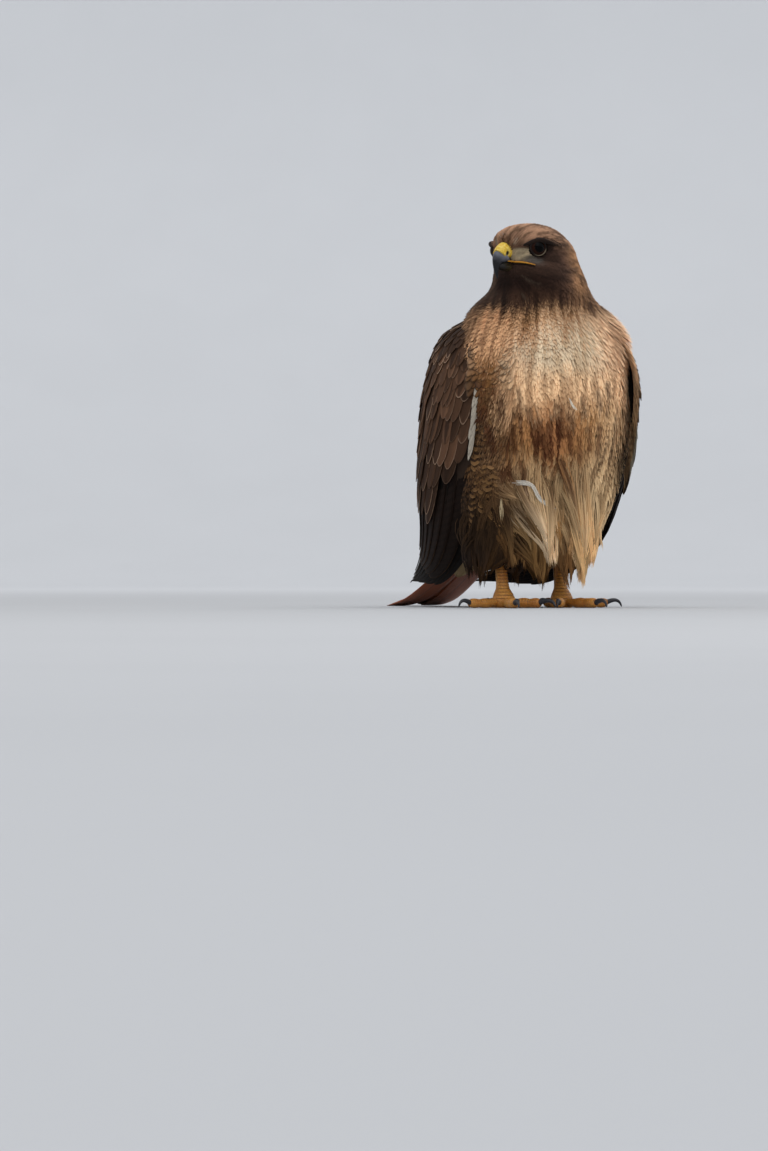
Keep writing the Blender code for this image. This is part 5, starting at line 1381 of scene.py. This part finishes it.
LID, tree, shader = new_material("bare_eyelid_skin", Roughness=0.6, Specular_IOR_Level=0.15)
wrinkle = add_node(tree, "TexNoise", i0=add_node(tree, "TexCoord").outputs["Object"], Scale=700.0, Detail=4.0).outputs[0]
pale = add_node(tree, "Attribute", {"attribute_name": "spread"}).outputs["Fac"]
tone = mix(tree, pale, colour_value("1a120f"), colour_value("7c6e5a"))
tone = mix(tree, math(tree, "MULTIPLY", wrinkle, 0.5), tone, colour_value("14100d"))
tree.links.new(tone, shader.inputs["Base Color"])
tree.links.new(add_node(tree, "Bump", Strength=0.5, Distance=0.0003, Height=wrinkle).outputs[0], shader.inputs["Normal"])

EYE_RADIUS, LID_RADIUS, LID_THICK = 9.4, 8.0, 1.0
for side, name, eye, look in ((1, "left", EYES[0], EYE_LOOKS[0]), (-1, "right", EYES[1], EYE_LOOKS[1])):
    across = unit(np.cross(look, UP))
    up = np.cross(across, look)
    tilt = np.linspace(0, np.pi, 41)[:, None]
    turn = np.linspace(0, 2 * np.pi, 49)[:-1]
    bulge = EYE_RADIUS * (1 + 0.035 * np.exp(-(tilt / 0.55) ** 2))
    rings = eye + (look * (bulge * np.cos(tilt) + 0 * turn)[..., None] + across * (bulge * np.sin(tilt) * np.cos(turn))[..., None]
                   + up * (bulge * np.sin(tilt) * np.sin(turn))[..., None])
    spread = np.broadcast_to(np.where(tilt < np.pi / 2, np.sin(tilt), 1.0), rings.shape[:2])
    piece = add_piece(f"eyeball_{name}", rings, grid_faces(*rings.shape[:2], closed=True), IRIS, (f"eye_{name}",),
                      {"spread": spread})
    face_out(piece)
    turn = np.linspace(0, 2 * np.pi, 65)[:-1]
    round_ = np.linspace(0, 2 * np.pi, 17)[:-1]
    # the upper lid is thicker, and hangs a little over the eye
    thick = LID_THICK * (1 + 0.6 * ease(np.sin(turn), 0.0, 0.8))[:, None]
    flat = np.where(np.sin(turn) > 0, 0.78, 0.92)[:, None]
    depth = np.sqrt(EYE_RADIUS**2 - LID_RADIUS**2)
    ring = LID_RADIUS + thick * np.cos(round_)
    rings = (eye + look * (depth + thick * np.sin(round_))[..., None] + across * (ring * np.cos(turn)[:, None])[..., None]
             + up * (ring * np.sin(turn)[:, None] * flat)[..., None])
    closed = np.concatenate([rings, rings[:1]])
    # the pale line runs along the lower lid, behind the eye's middle
    rear = -np.cos(turn) * np.sign(across @ FORWARD)
    pale = ease(-np.sin(turn), 0.0, 0.5) * ease(rear, -0.7, 0.2)
    pale = pale[:, None] * ease(np.cos(round_ - 1.0), 0.1, 0.8)
    piece = add_piece(f"lids_{name}", closed, grid_faces(*closed.shape[:2], closed=True), LID, (),
                      {"spread": np.concatenate([pale, pale[:1]])})
    face_out(piece)

BROW = ((0, 38.5, 342.6), (0.25, 33.0, 346.0), (0.5, 26.5, 347.8), (0.75, 17.5, 346.4), (1, 7.0, 343.4))
for side, name in ((1, "left"), (-1, "right")):
    share = np.linspace(0, 1, 26)
    ahead, height = smooth(BROW, share)
    line = in_head(ahead, side * (head_side(ahead, height) + (1.4 if side > 0 else 2.2)), height)
    girth = 2.4 * (0.25 + 0.75 * np.sin(np.pi * share) ** 0.8)
    rings = tube_rings(line, girth, 14)
    count = len(rings.reshape(-1, 3)) + 28
    # the roll is near black, partly painted shade under the ridge
    colours, traits = plain_colours(count, "211712", "17100c", "30241c", 0.0, (0, 0, 0))
    add_loft(f"brow_{name}", rings, SOFT_PLUME, (), dict(colours, traits=traits, share=traits + 0.5, span=traits + 3))
    # feathers over the ridge: short, swept back, like the crown on top and near black underneath by the lid, partly as
    # painted shade of the ridge
    count = 620
    share = rng.uniform(0.03, 0.97, count)
    ahead, height = smooth(BROW, share)
    about = rng.uniform(-1.1, 2.4, count)
    reach = 2.4 * (0.25 + 0.75 * np.sin(np.pi * share) ** 0.8)
    root = in_head(ahead, side * (head_side(ahead, height) + (1.4 if side > 0 else 2.2) + reach * np.cos(about)), height + reach * np.sin(about))
    out = unit(LEFT * side * np.cos(about)[:, None] + UP * np.sin(about)[:, None])
    slope = np.gradient(smooth(BROW, np.linspace(0, 1, 60))[1], smooth(BROW, np.linspace(0, 1, 60))[0])
    fall = np.interp(share, np.linspace(0, 1, 60), slope)
    way = unit(-FORWARD - UP * (fall + 0.08 * rng.normal(0, 1, count))[:, None] + LEFT * side * 0.25 + out * 0.02)
    way = unit(way - out * np.sum(way * out, axis=-1, keepdims=True) * 0.9)
    rows, columns = 5, 3
    shares = np.array(ROW_SHARES[rows])
    profile = smooth(OUTLINE, shares)[0]
    length, half = rng.uniform(4, 7, count) * np.interp(share, (0, 0.2, 1), (0.6, 1, 1)), np.full(count, 0.75)
    sides = unit(np.cross(out, way))
    across = np.linspace(-1, 1, columns)
    points = (root[:, None, None] + way[:, None, None] * (length[:, None] * shares)[..., None, None]
              + sides[:, None, None] * (across * half[:, None, None] * profile[None, :, None])[..., None]
              + out[:, None, None] * (0.1 + 0.5 * shares - 1.3 * shares**2)[None, :, None, None])
    top = np.maximum(ease(about + 0.2 * rng.normal(0, 1, count), -0.1, 0.7), 0.6 * ease(share, 0.6, 0.9))
    ground = toward(np.tile(hex_colour("1f1510"), (count, 1)), "7c5f4b", top) * rng.uniform(0.8, 1.2, (count, 1))
    colours = {"ground": ground, "mark": ground * 0.7, "rim": ground * 1.2}
    values = coat_values(count, rows, columns, length, half, shares, profile, colours, rng.random(count), np.zeros((count, 3)))
    patch = np.stack(np.broadcast_arrays(share[:, None, None] + across * 0.0014, (about[:, None, None] + 1.2) / 4 + shares[None, :, None] * 0.003), axis=-1)
    add_piece(f"brow_feathers_{name}", points, grid_faces(rows, columns, count=count), SOFT_PLUME, (), values, patch)

# %% [markdown]
# Cere and bill. The cere is a waxy yellow saddle of skin with the nostrils in it, and the bill is
# horn over bone: slate, paler at its root, nearly black at the hooked point. Both are lofts through
# slanted egg-shaped slices; the nostril is pressed in by a bell curve.


# %% Cere, bill and mouth
CERE = (  # share, top ahead and height, bottom ahead and height, half width
    (0.0, 40.5, 345.0, 41.0, 331.0, 6.9),
    (0.4, 47.0, 346.0, 44.0, 331.2, 7.0),
    (0.75, 52.6, 343.2, 46.5, 331.2, 6.9),
    (1.0, 57.4, 338.0, 49.0, 330.6, 6.3),
)
BILL_UPPER = (
    (0.0, 55.0, 338.4, 40.0, 327.8, 6.2),
    (0.2, 58.4, 335.6, 46.5, 327.2, 5.6),
    (0.42, 60.4, 331.2, 51.0, 325.6, 4.5),
    (0.64, 60.4, 325.2, 54.0, 321.3, 3.2),
    (0.84, 58.4, 317.4, 55.0, 316.0, 1.9),
    (1.0, 55.2, 311.2, 54.4, 311.4, 0.5),
)
BILL_LOWER = (
    (0.0, 30, 327.0, 30, 320.0, 5.4),
    (0.5, 42, 327.8, 41, 319.4, 5.0),
    (0.8, 49.5, 327.4, 48.5, 319.4, 4.2),
    (1.0, 55.0, 325.0, 54.2, 320.8, 2.2),
)
NOSTRIL = np.array((47.0, 9.0, 335.4))


def bill_rings(table, rows, columns):
    """Slices between a top and a bottom place: half the distance times the cosine, and to the side the
    half width times the sine, wider below"""
    top_a, top_z, low_a, low_z, half = [part[:, None] for part in smooth(table, np.linspace(0, 1, rows))]
    turn = np.linspace(0, 2 * np.pi, columns + 1)[:-1]
    high = np.cos(turn)
    return in_head((top_a + low_a) / 2 + (top_a - low_a) / 2 * high, half * np.sin(turn) * (1 - 0.18 * high),
                   (top_z + low_z) / 2 + (top_z - low_z) / 2 * high)


WAX, tree, shader = new_material("waxy_cere_skin", Roughness=0.5, Specular_IOR_Level=0.3, Subsurface_Weight=0.1,
                                 Subsurface_Scale=0.002)
pit = add_node(tree, "Attribute", {"attribute_name": "spread"}).outputs["Fac"]
pores = add_node(tree, "TexNoise", i0=add_node(tree, "TexCoord").outputs["Object"], Scale=420.0, Detail=4.0).outputs[0]
yellow = mix(tree, ramp(tree, pores, 0.35, 0.7), colour_value("c39c20"), colour_value("d8c160"))
# inside the nostril the yellow goes nearly black: painted shade of the hole
yellow = mix(tree, ramp(tree, pit, 0.2, 0.6), yellow, colour_value("1c1108"))
tree.links.new(yellow, shader.inputs["Base Color"])
tree.links.new(add_node(tree, "Bump", Strength=0.4, Distance=0.0004, Height=pores).outputs[0], shader.inputs["Normal"])
rings = bill_rings(CERE, 40, 72)
ahead, aside, height = to_head(rings)
room = np.hypot((ahead - NOSTRIL[0]) / 2.5, (height - NOSTRIL[2]) / 2.6) + 9 * (np.abs(aside) < 3)
pit = np.exp(-room**2 * 1.4)
rings = rings - (LEFT * np.sign(aside)[..., None]) * (pit * 2.4)[..., None]
values = np.concatenate([pit[:1], pit, pit[-1:]])
add_loft("cere_skin", rings, WAX, ("cere",), {"spread": values})


def make_horn(name, root, tip, start, end):
    """Bill horn: one colour at the root and another at the point, with fine lines of growth"""
    material, tree, shader = new_material(name, Roughness=0.5, Specular_IOR_Level=0.25)
    reach = add_node(tree, "Attribute", {"attribute_name": "spread"}).outputs["Fac"]
    lines = add_node(tree, "TexNoise", i0=add_node(tree, "Mapping", i0=add_node(tree, "TexCoord").outputs["Object"],
                     Scale=(1, 1, 4)).outputs[0], Scale=220.0, Detail=4.0).outputs[0]
    share = ramp(tree, math(tree, "MULTIPLY_ADD", lines, 0.25, reach), start, end)
    tree.links.new(mix(tree, share, colour_value(root), colour_value(tip)), shader.inputs["Base Color"])
    tree.links.new(add_node(tree, "Bump", Strength=0.15, Distance=0.0002, Height=lines).outputs[0], shader.inputs["Normal"])
    return material


# the lower bill is darker than the upper: partly its horn, partly painted shade under the upper bill
for name, table, material, node in (("bill_hook", BILL_UPPER, make_horn("bill_horn", "6b6c74", "141417", 0.1, 0.75), "bill_upper"),
                                    ("bill_under", BILL_LOWER, make_horn("chin_horn", "3b3017", "191613", 0.5, 1.0), "bill_lower")):
    rings = bill_rings(table, 40, 40)
    share = np.linspace(0, 1, 40)[:, None] + np.zeros((40, 40))
    add_loft(name, rings, material, (node,), {"spread": np.concatenate([share[:1], share, share[-1:]])})

GAPE = ((0, 47.5, 328.0), (0.33, 41, 327.8), (0.66, 35, 326.8), (1, 28.5, 324.6))
LIP, tree, shader = new_material("gape_skin", Roughness=0.5, Specular_IOR_Level=0.3, Subsurface_Weight=0.1, Subsurface_Scale=0.002)
pores = add_node(tree, "TexNoise", i0=add_node(tree, "TexCoord").outputs["Object"], Scale=420.0, Detail=3.0).outputs[0]
tree.links.new(mix(tree, pores, colour_value("a86d14"), colour_value("c98f2a")), shader.inputs["Base Color"])
MOUTH_SHADOW, tree, shader = new_material("mouth_shadow_skin", Roughness=0.8, Specular_IOR_Level=0.1)
pores = add_node(tree, "TexNoise", i0=add_node(tree, "TexCoord").outputs["Object"], Scale=420.0, Detail=3.0).outputs[0]
tree.links.new(mix(tree, pores, colour_value("100a07"), colour_value("20160f")), shader.inputs["Base Color"])
for side, name in ((1, "left"), (-1, "right")):
    share = np.linspace(0, 1, 30)
    ahead, height = smooth(GAPE, share)
    outward = np.maximum(head_side(ahead, height) + 0.9, np.interp(share, (0, 0.3), (6.6, 7.2)))
    line = in_head(ahead, side * outward, height)
    add_loft(f"gape_{name}", tube_rings(line, 1.05 * (0.4 + 0.6 * np.sin(np.pi * share) ** 0.7), 12, 0.8), LIP)
    # a dark tube under the gape: painted shadow of the upper bill's edge
    line = in_head(ahead, side * (outward + 0.2), height - 1.7)
    add_loft(f"mouth_shadow_line_{name}", tube_rings(line, 0.8 * (0.4 + 0.6 * np.sin(np.pi * share) ** 0.7), 10, 0.8), MOUTH_SHADOW)

# %% [markdown]
# Legs and feet wear overlapping plates called scutes: broad rings down the front of the shank and over
# the toes, and pads under them. Real scutes are hard skin, orange yellow; here they are coloured darker in
# the folds and along the edges of the small scales. They are modelled: the radius follows a saw-tooth along
# the leg that is strongest in front.

# %% Legs, feet and claws
FOOT_X = 32
SHANK = ((0, 9.4, 9.6, 0.0), (2, 11.0, 11.2, 0.0), (7, 11.2, 11.6, 0.0), (13, 9.4, 10.0, 0.6), (19, 6.5, 7.5, 2.0), (30, 5.6, 6.5, 4.2),
         (43.7, 5.6, 6.4, 7.0))
TOES = {
    "right": ((188, 27, 4.5, 19), (-30, 33, 4.6, 17), (17, 45, 4.6, 16), (76, 37, 4.2, 14)),
    "left": ((176, 27, 4.5, 19), (-34, 33, 4.6, 17), (9, 45, 4.6, 16), (68, 37, 4.2, 14)),
}
TOE_ROWS = ((0.10, 0.85, 5.6), (0.36, 0.88, 4.8), (0.46, 1.04, 4.6), (0.58, 1.12, 4.6), (0.72, 0.95, 4.5), (0.84, 1.08, 4.6), (0.95, 1.0, 4.8),
            (1.0, 0.75, 5.0))
SCUTE_PITCH, SCUTE_RISE = 3.1, 0.42

SCUTES, tree, shader = new_material("scaly_leg_skin", Roughness=0.5, Specular_IOR_Level=0.4, Subsurface_Weight=0.08, Subsurface_Scale=0.002)
fold = add_node(tree, "Attribute", {"attribute_name": "spread"}).outputs["Fac"]
spot = add_node(tree, "TexCoord").outputs["Object"]
blotch = add_node(tree, "TexNoise", i0=spot, Scale=60.0, Detail=3.0).outputs[0]
scales = add_node(tree, "TexVoronoi", {"feature": "DISTANCE_TO_EDGE"}, i0=spot, Scale=520.0).outputs[0]
orange = mix(tree, ramp(tree, blotch, 0.35, 0.7), colour_value("b0702a"), colour_value("c98c3e"))
orange = mix(tree, ramp(tree, scales, 0.0, 0.16, 0.5, 0.0), orange, colour_value("5d3a14"))
orange = mix(tree, math(tree, "MULTIPLY", fold, 0.75), orange, colour_value("33200c"))
tree.links.new(orange, shader.inputs["Base Color"])
height = math(tree, "MULTIPLY", ramp(tree, scales, 0.0, 0.2), 0.5)
tree.links.new(add_node(tree, "Bump", Strength=0.5, Distance=0.0004, Height=height).outputs[0], shader.inputs["Normal"])

CLAW, tree, shader = new_material("claw_horn", Roughness=0.42, Specular_IOR_Level=0.3)
lines = add_node(tree, "TexNoise", i0=add_node(tree, "TexCoord").outputs["Object"], Scale=300.0, Detail=4.0).outputs[0]
tree.links.new(mix(tree, lines, colour_value("17161a"), colour_value("3b3a3e")), shader.inputs["Base Color"])
tree.links.new(add_node(tree, "Bump", Strength=0.15, Distance=0.0002, Height=lines).outputs[0], shader.inputs["Normal"])


def saw(along, pitch):
    """Falls from 1 to 0 over each scute, with a fold at its end"""
    part = (along / pitch) % 1.0
    return np.where(part < 0.82, 1 - 0.35 * part, 0.0), np.where(part < 0.82, 0.0, 1.0)


for side, name in ((1, "left"), (-1, "right")):
    z = np.linspace(0, 43.7, 150)
    half, deep, y = smooth(SHANK, z)
    turn = np.linspace(0, 2 * np.pi, 41)[:-1]
    front = ease(np.cos(turn), -0.2, 0.6)
    rise, fold = saw(z, SCUTE_PITCH)
    grow = SCUTE_RISE * (rise[:, None] - 1) * front * ease(z, 4, 9)[:, None]
    rings = np.stack([side * FOOT_X + (half[:, None] + grow) * np.sin(turn), y[:, None] - (deep[:, None] + grow) * np.cos(turn),
                      z[:, None] + 0 * turn], axis=-1)
    values = fold[:, None] * front * ease(z, 4, 9)[:, None]
    add_loft(f"shank_{name}", rings, SCUTES, (f"tarsus_{name}",),
             {"spread": np.concatenate([values[:1], values, values[-1:]])})
    for number, (way, length, radius, claw) in enumerate(TOES[name], 1):
        along = np.array((side * np.sin(np.radians(way)), -np.cos(np.radians(way)), 0))
        start = np.array((side * FOOT_X, 0, 0))
        share = np.linspace(0.10, 1, 90)
        swell, lift = smooth(TOE_ROWS, share)
        reach = (length + 7.4) * share
        line = start + along * reach[:, None] + UP * lift[:, None]
        rings = tube_rings(line, radius * swell, 28)
        turn = np.linspace(0, 2 * np.pi, 29)[:-1]
        upper = ease(np.sin(turn), -0.1, 0.5)
        rise, fold = saw(reach, 2.9)
        inward = unit(rings - line[:, None])
        rings = rings + inward * (SCUTE_RISE * (rise[:, None] - 1) * upper)[..., None]
        rings[..., 2] = np.maximum(rings[..., 2], 0.0)
        values = fold[:, None] * upper
        add_loft(f"toe_{name}_{number}_skin", rings, SCUTES, (f"toe_{name}_{number}",),
                 {"spread": np.concatenate([values[:1], values, values[-1:]])})
        share = np.linspace(0, 1, 26)
        height = 5.0 + 2.9 * np.sin(np.pi * np.minimum(share * 1.15, 1)) - 4.2 * share**2
        line = start + along * (length + 7.4 - 0.8 + (claw + 0.8) * np.sin(share * np.pi / 2))[:, None] + UP * height[:, None]
        rings = tube_rings(line, radius * 0.52 * (1 - share) ** 0.72 + 0.25, 18)
        rings[..., 2] = np.maximum(rings[..., 2], 0.25)
        add_loft(f"talon_{name}_{number}", rings, CLAW, (f"claw_{name}_{number}",))

# %% [markdown]
# A pale floor that curves up into a pale wall all round, under an even grey sky: the light of an
# overcast day, which has no hard shadow and lets the browns show.

# %% Floor, light and camera
FLOOR_RADIUS, WALL_RADIUS, WALL_HEIGHT = 6.0, 9.0, 2.6


def add_floor():
    """A dish: flat to FLOOR_RADIUS, then up along a quarter of an ellipse"""
    turn = np.linspace(0, 2 * np.pi, 129)[:-1]
    bend = np.linspace(0, 1, 25)
    radius = np.concatenate([[0.001, 0.5, 2.0, 4.0], FLOOR_RADIUS + (WALL_RADIUS - FLOOR_RADIUS) * np.sin(bend * np.pi / 2)])
    height = np.concatenate([[0, 0, 0, 0], WALL_HEIGHT * (1 - np.cos(bend * np.pi / 2))])
    corners = np.stack([radius[:, None] * np.cos(turn), radius[:, None] * np.sin(turn),
                        height[:, None] + 0 * turn], axis=-1)
    mesh = bpy.data.meshes.new("floor")
    faces = grid_faces(len(radius), 128, closed=True)[:, ::-1]
    mesh.from_pydata(corners.reshape(-1, 3).tolist(), [], [list(range(128))] + faces.tolist())
    mesh.shade_smooth()
    floor = bpy.data.objects.new("floor", mesh)
    bpy.context.scene.collection.objects.link(floor)
    return floor


material, tree, shader = new_material("matt_paper", Base_Color="dcdee0", Roughness=0.95, Specular_IOR_Level=0.1)
spot = add_node(tree, "TexCoord").outputs["Object"]
grain = ramp(tree, add_node(tree, "TexNoise", i0=spot, Scale=3.0, Detail=2.0).outputs[0], 0.3, 0.7, 0.985, 1.0)
far = add_node(tree, "VectorMath", {"operation": "LENGTH"}, i0=spot).outputs["Value"]
tone = math(tree, "MULTIPLY", grain, ramp(tree, far, 0.2, 5.0, 0.67, 1.0))  # duller near the lamps, which light it more
level = add_node(tree, "SeparateXYZ", i0=spot).outputs[2]
tone = math(tree, "MULTIPLY", tone, ramp(tree, level, 0.0, 1.3, 0.94, 1.0))
paper = add_node(tree, "VectorMath", {"operation": "SCALE"}, i0=tuple(hex_colour("dcdee0")), Scale=tone).outputs[0]
tree.links.new(paper, shader.inputs["Base Color"])
add_floor().data.materials.append(material)

world = bpy.data.worlds.new("overcast")
world.use_nodes = True
sky = world.node_tree.nodes["Background"]
sky.inputs["Color"].default_value = (*hex_colour("cacbce"), 1)
sky.inputs["Strength"].default_value = 1.55
bpy.context.scene.world = world
bpy.context.scene.view_settings.view_transform = "Standard"

TO_CAMERA = np.array((-0.454, -0.891, 0.0))
TO_RIGHT = np.array((0.891, -0.454, 0.0))
DISTANCE = 3500.0
VIEW_HEIGHT = 1151 * 0.95
NEARER = 50.0  # breast and face stand this much nearer than the feet, and they set the scale


def add_light(name, spot, size, power, colour):
    data = bpy.data.lights.new(name, "AREA")
    data.shape, data.size, data.energy = "DISK", size, power
    data.color = tuple(hex_colour(colour))
    light = bpy.data.objects.new(name, data)
    light.location = spot
    aim = (np.array((0, 0, 0.2)) - np.array(spot))
    light.rotation_euler = (-aim @ UP * 0 + np.arccos(-aim[2] / np.linalg.norm(aim)), 0, np.arctan2(-aim[0], aim[1]))
    bpy.context.scene.collection.objects.link(light)


front = TO_CAMERA * 1.6 + TO_RIGHT * 0.5
add_light("sky_above", (0.2, -0.3, 2.6), 2.4, 16, "ffffff")
add_light("window_of_cloud", (front[0], front[1], 1.7), 1.6, 8, "fdfdff")

camera_data = bpy.data.cameras.new("camera")
camera_data.sensor_fit = "VERTICAL"
camera_data.sensor_height = 24.0
camera_data.lens = 24.0 * (DISTANCE - NEARER) / VIEW_HEIGHT
camera_data.clip_end = 100
camera = bpy.data.objects.new("camera", camera_data)
spot = (TO_CAMERA * DISTANCE - TO_RIGHT * 143.5 + UP * 31 + SHIFT) * 0.001
camera.location = spot
camera.rotation_euler = (np.pi / 2, 0, np.arctan2(TO_RIGHT[1], TO_RIGHT[0]))
bpy.context.scene.collection.objects.link(camera)
bpy.context.scene.camera = camera
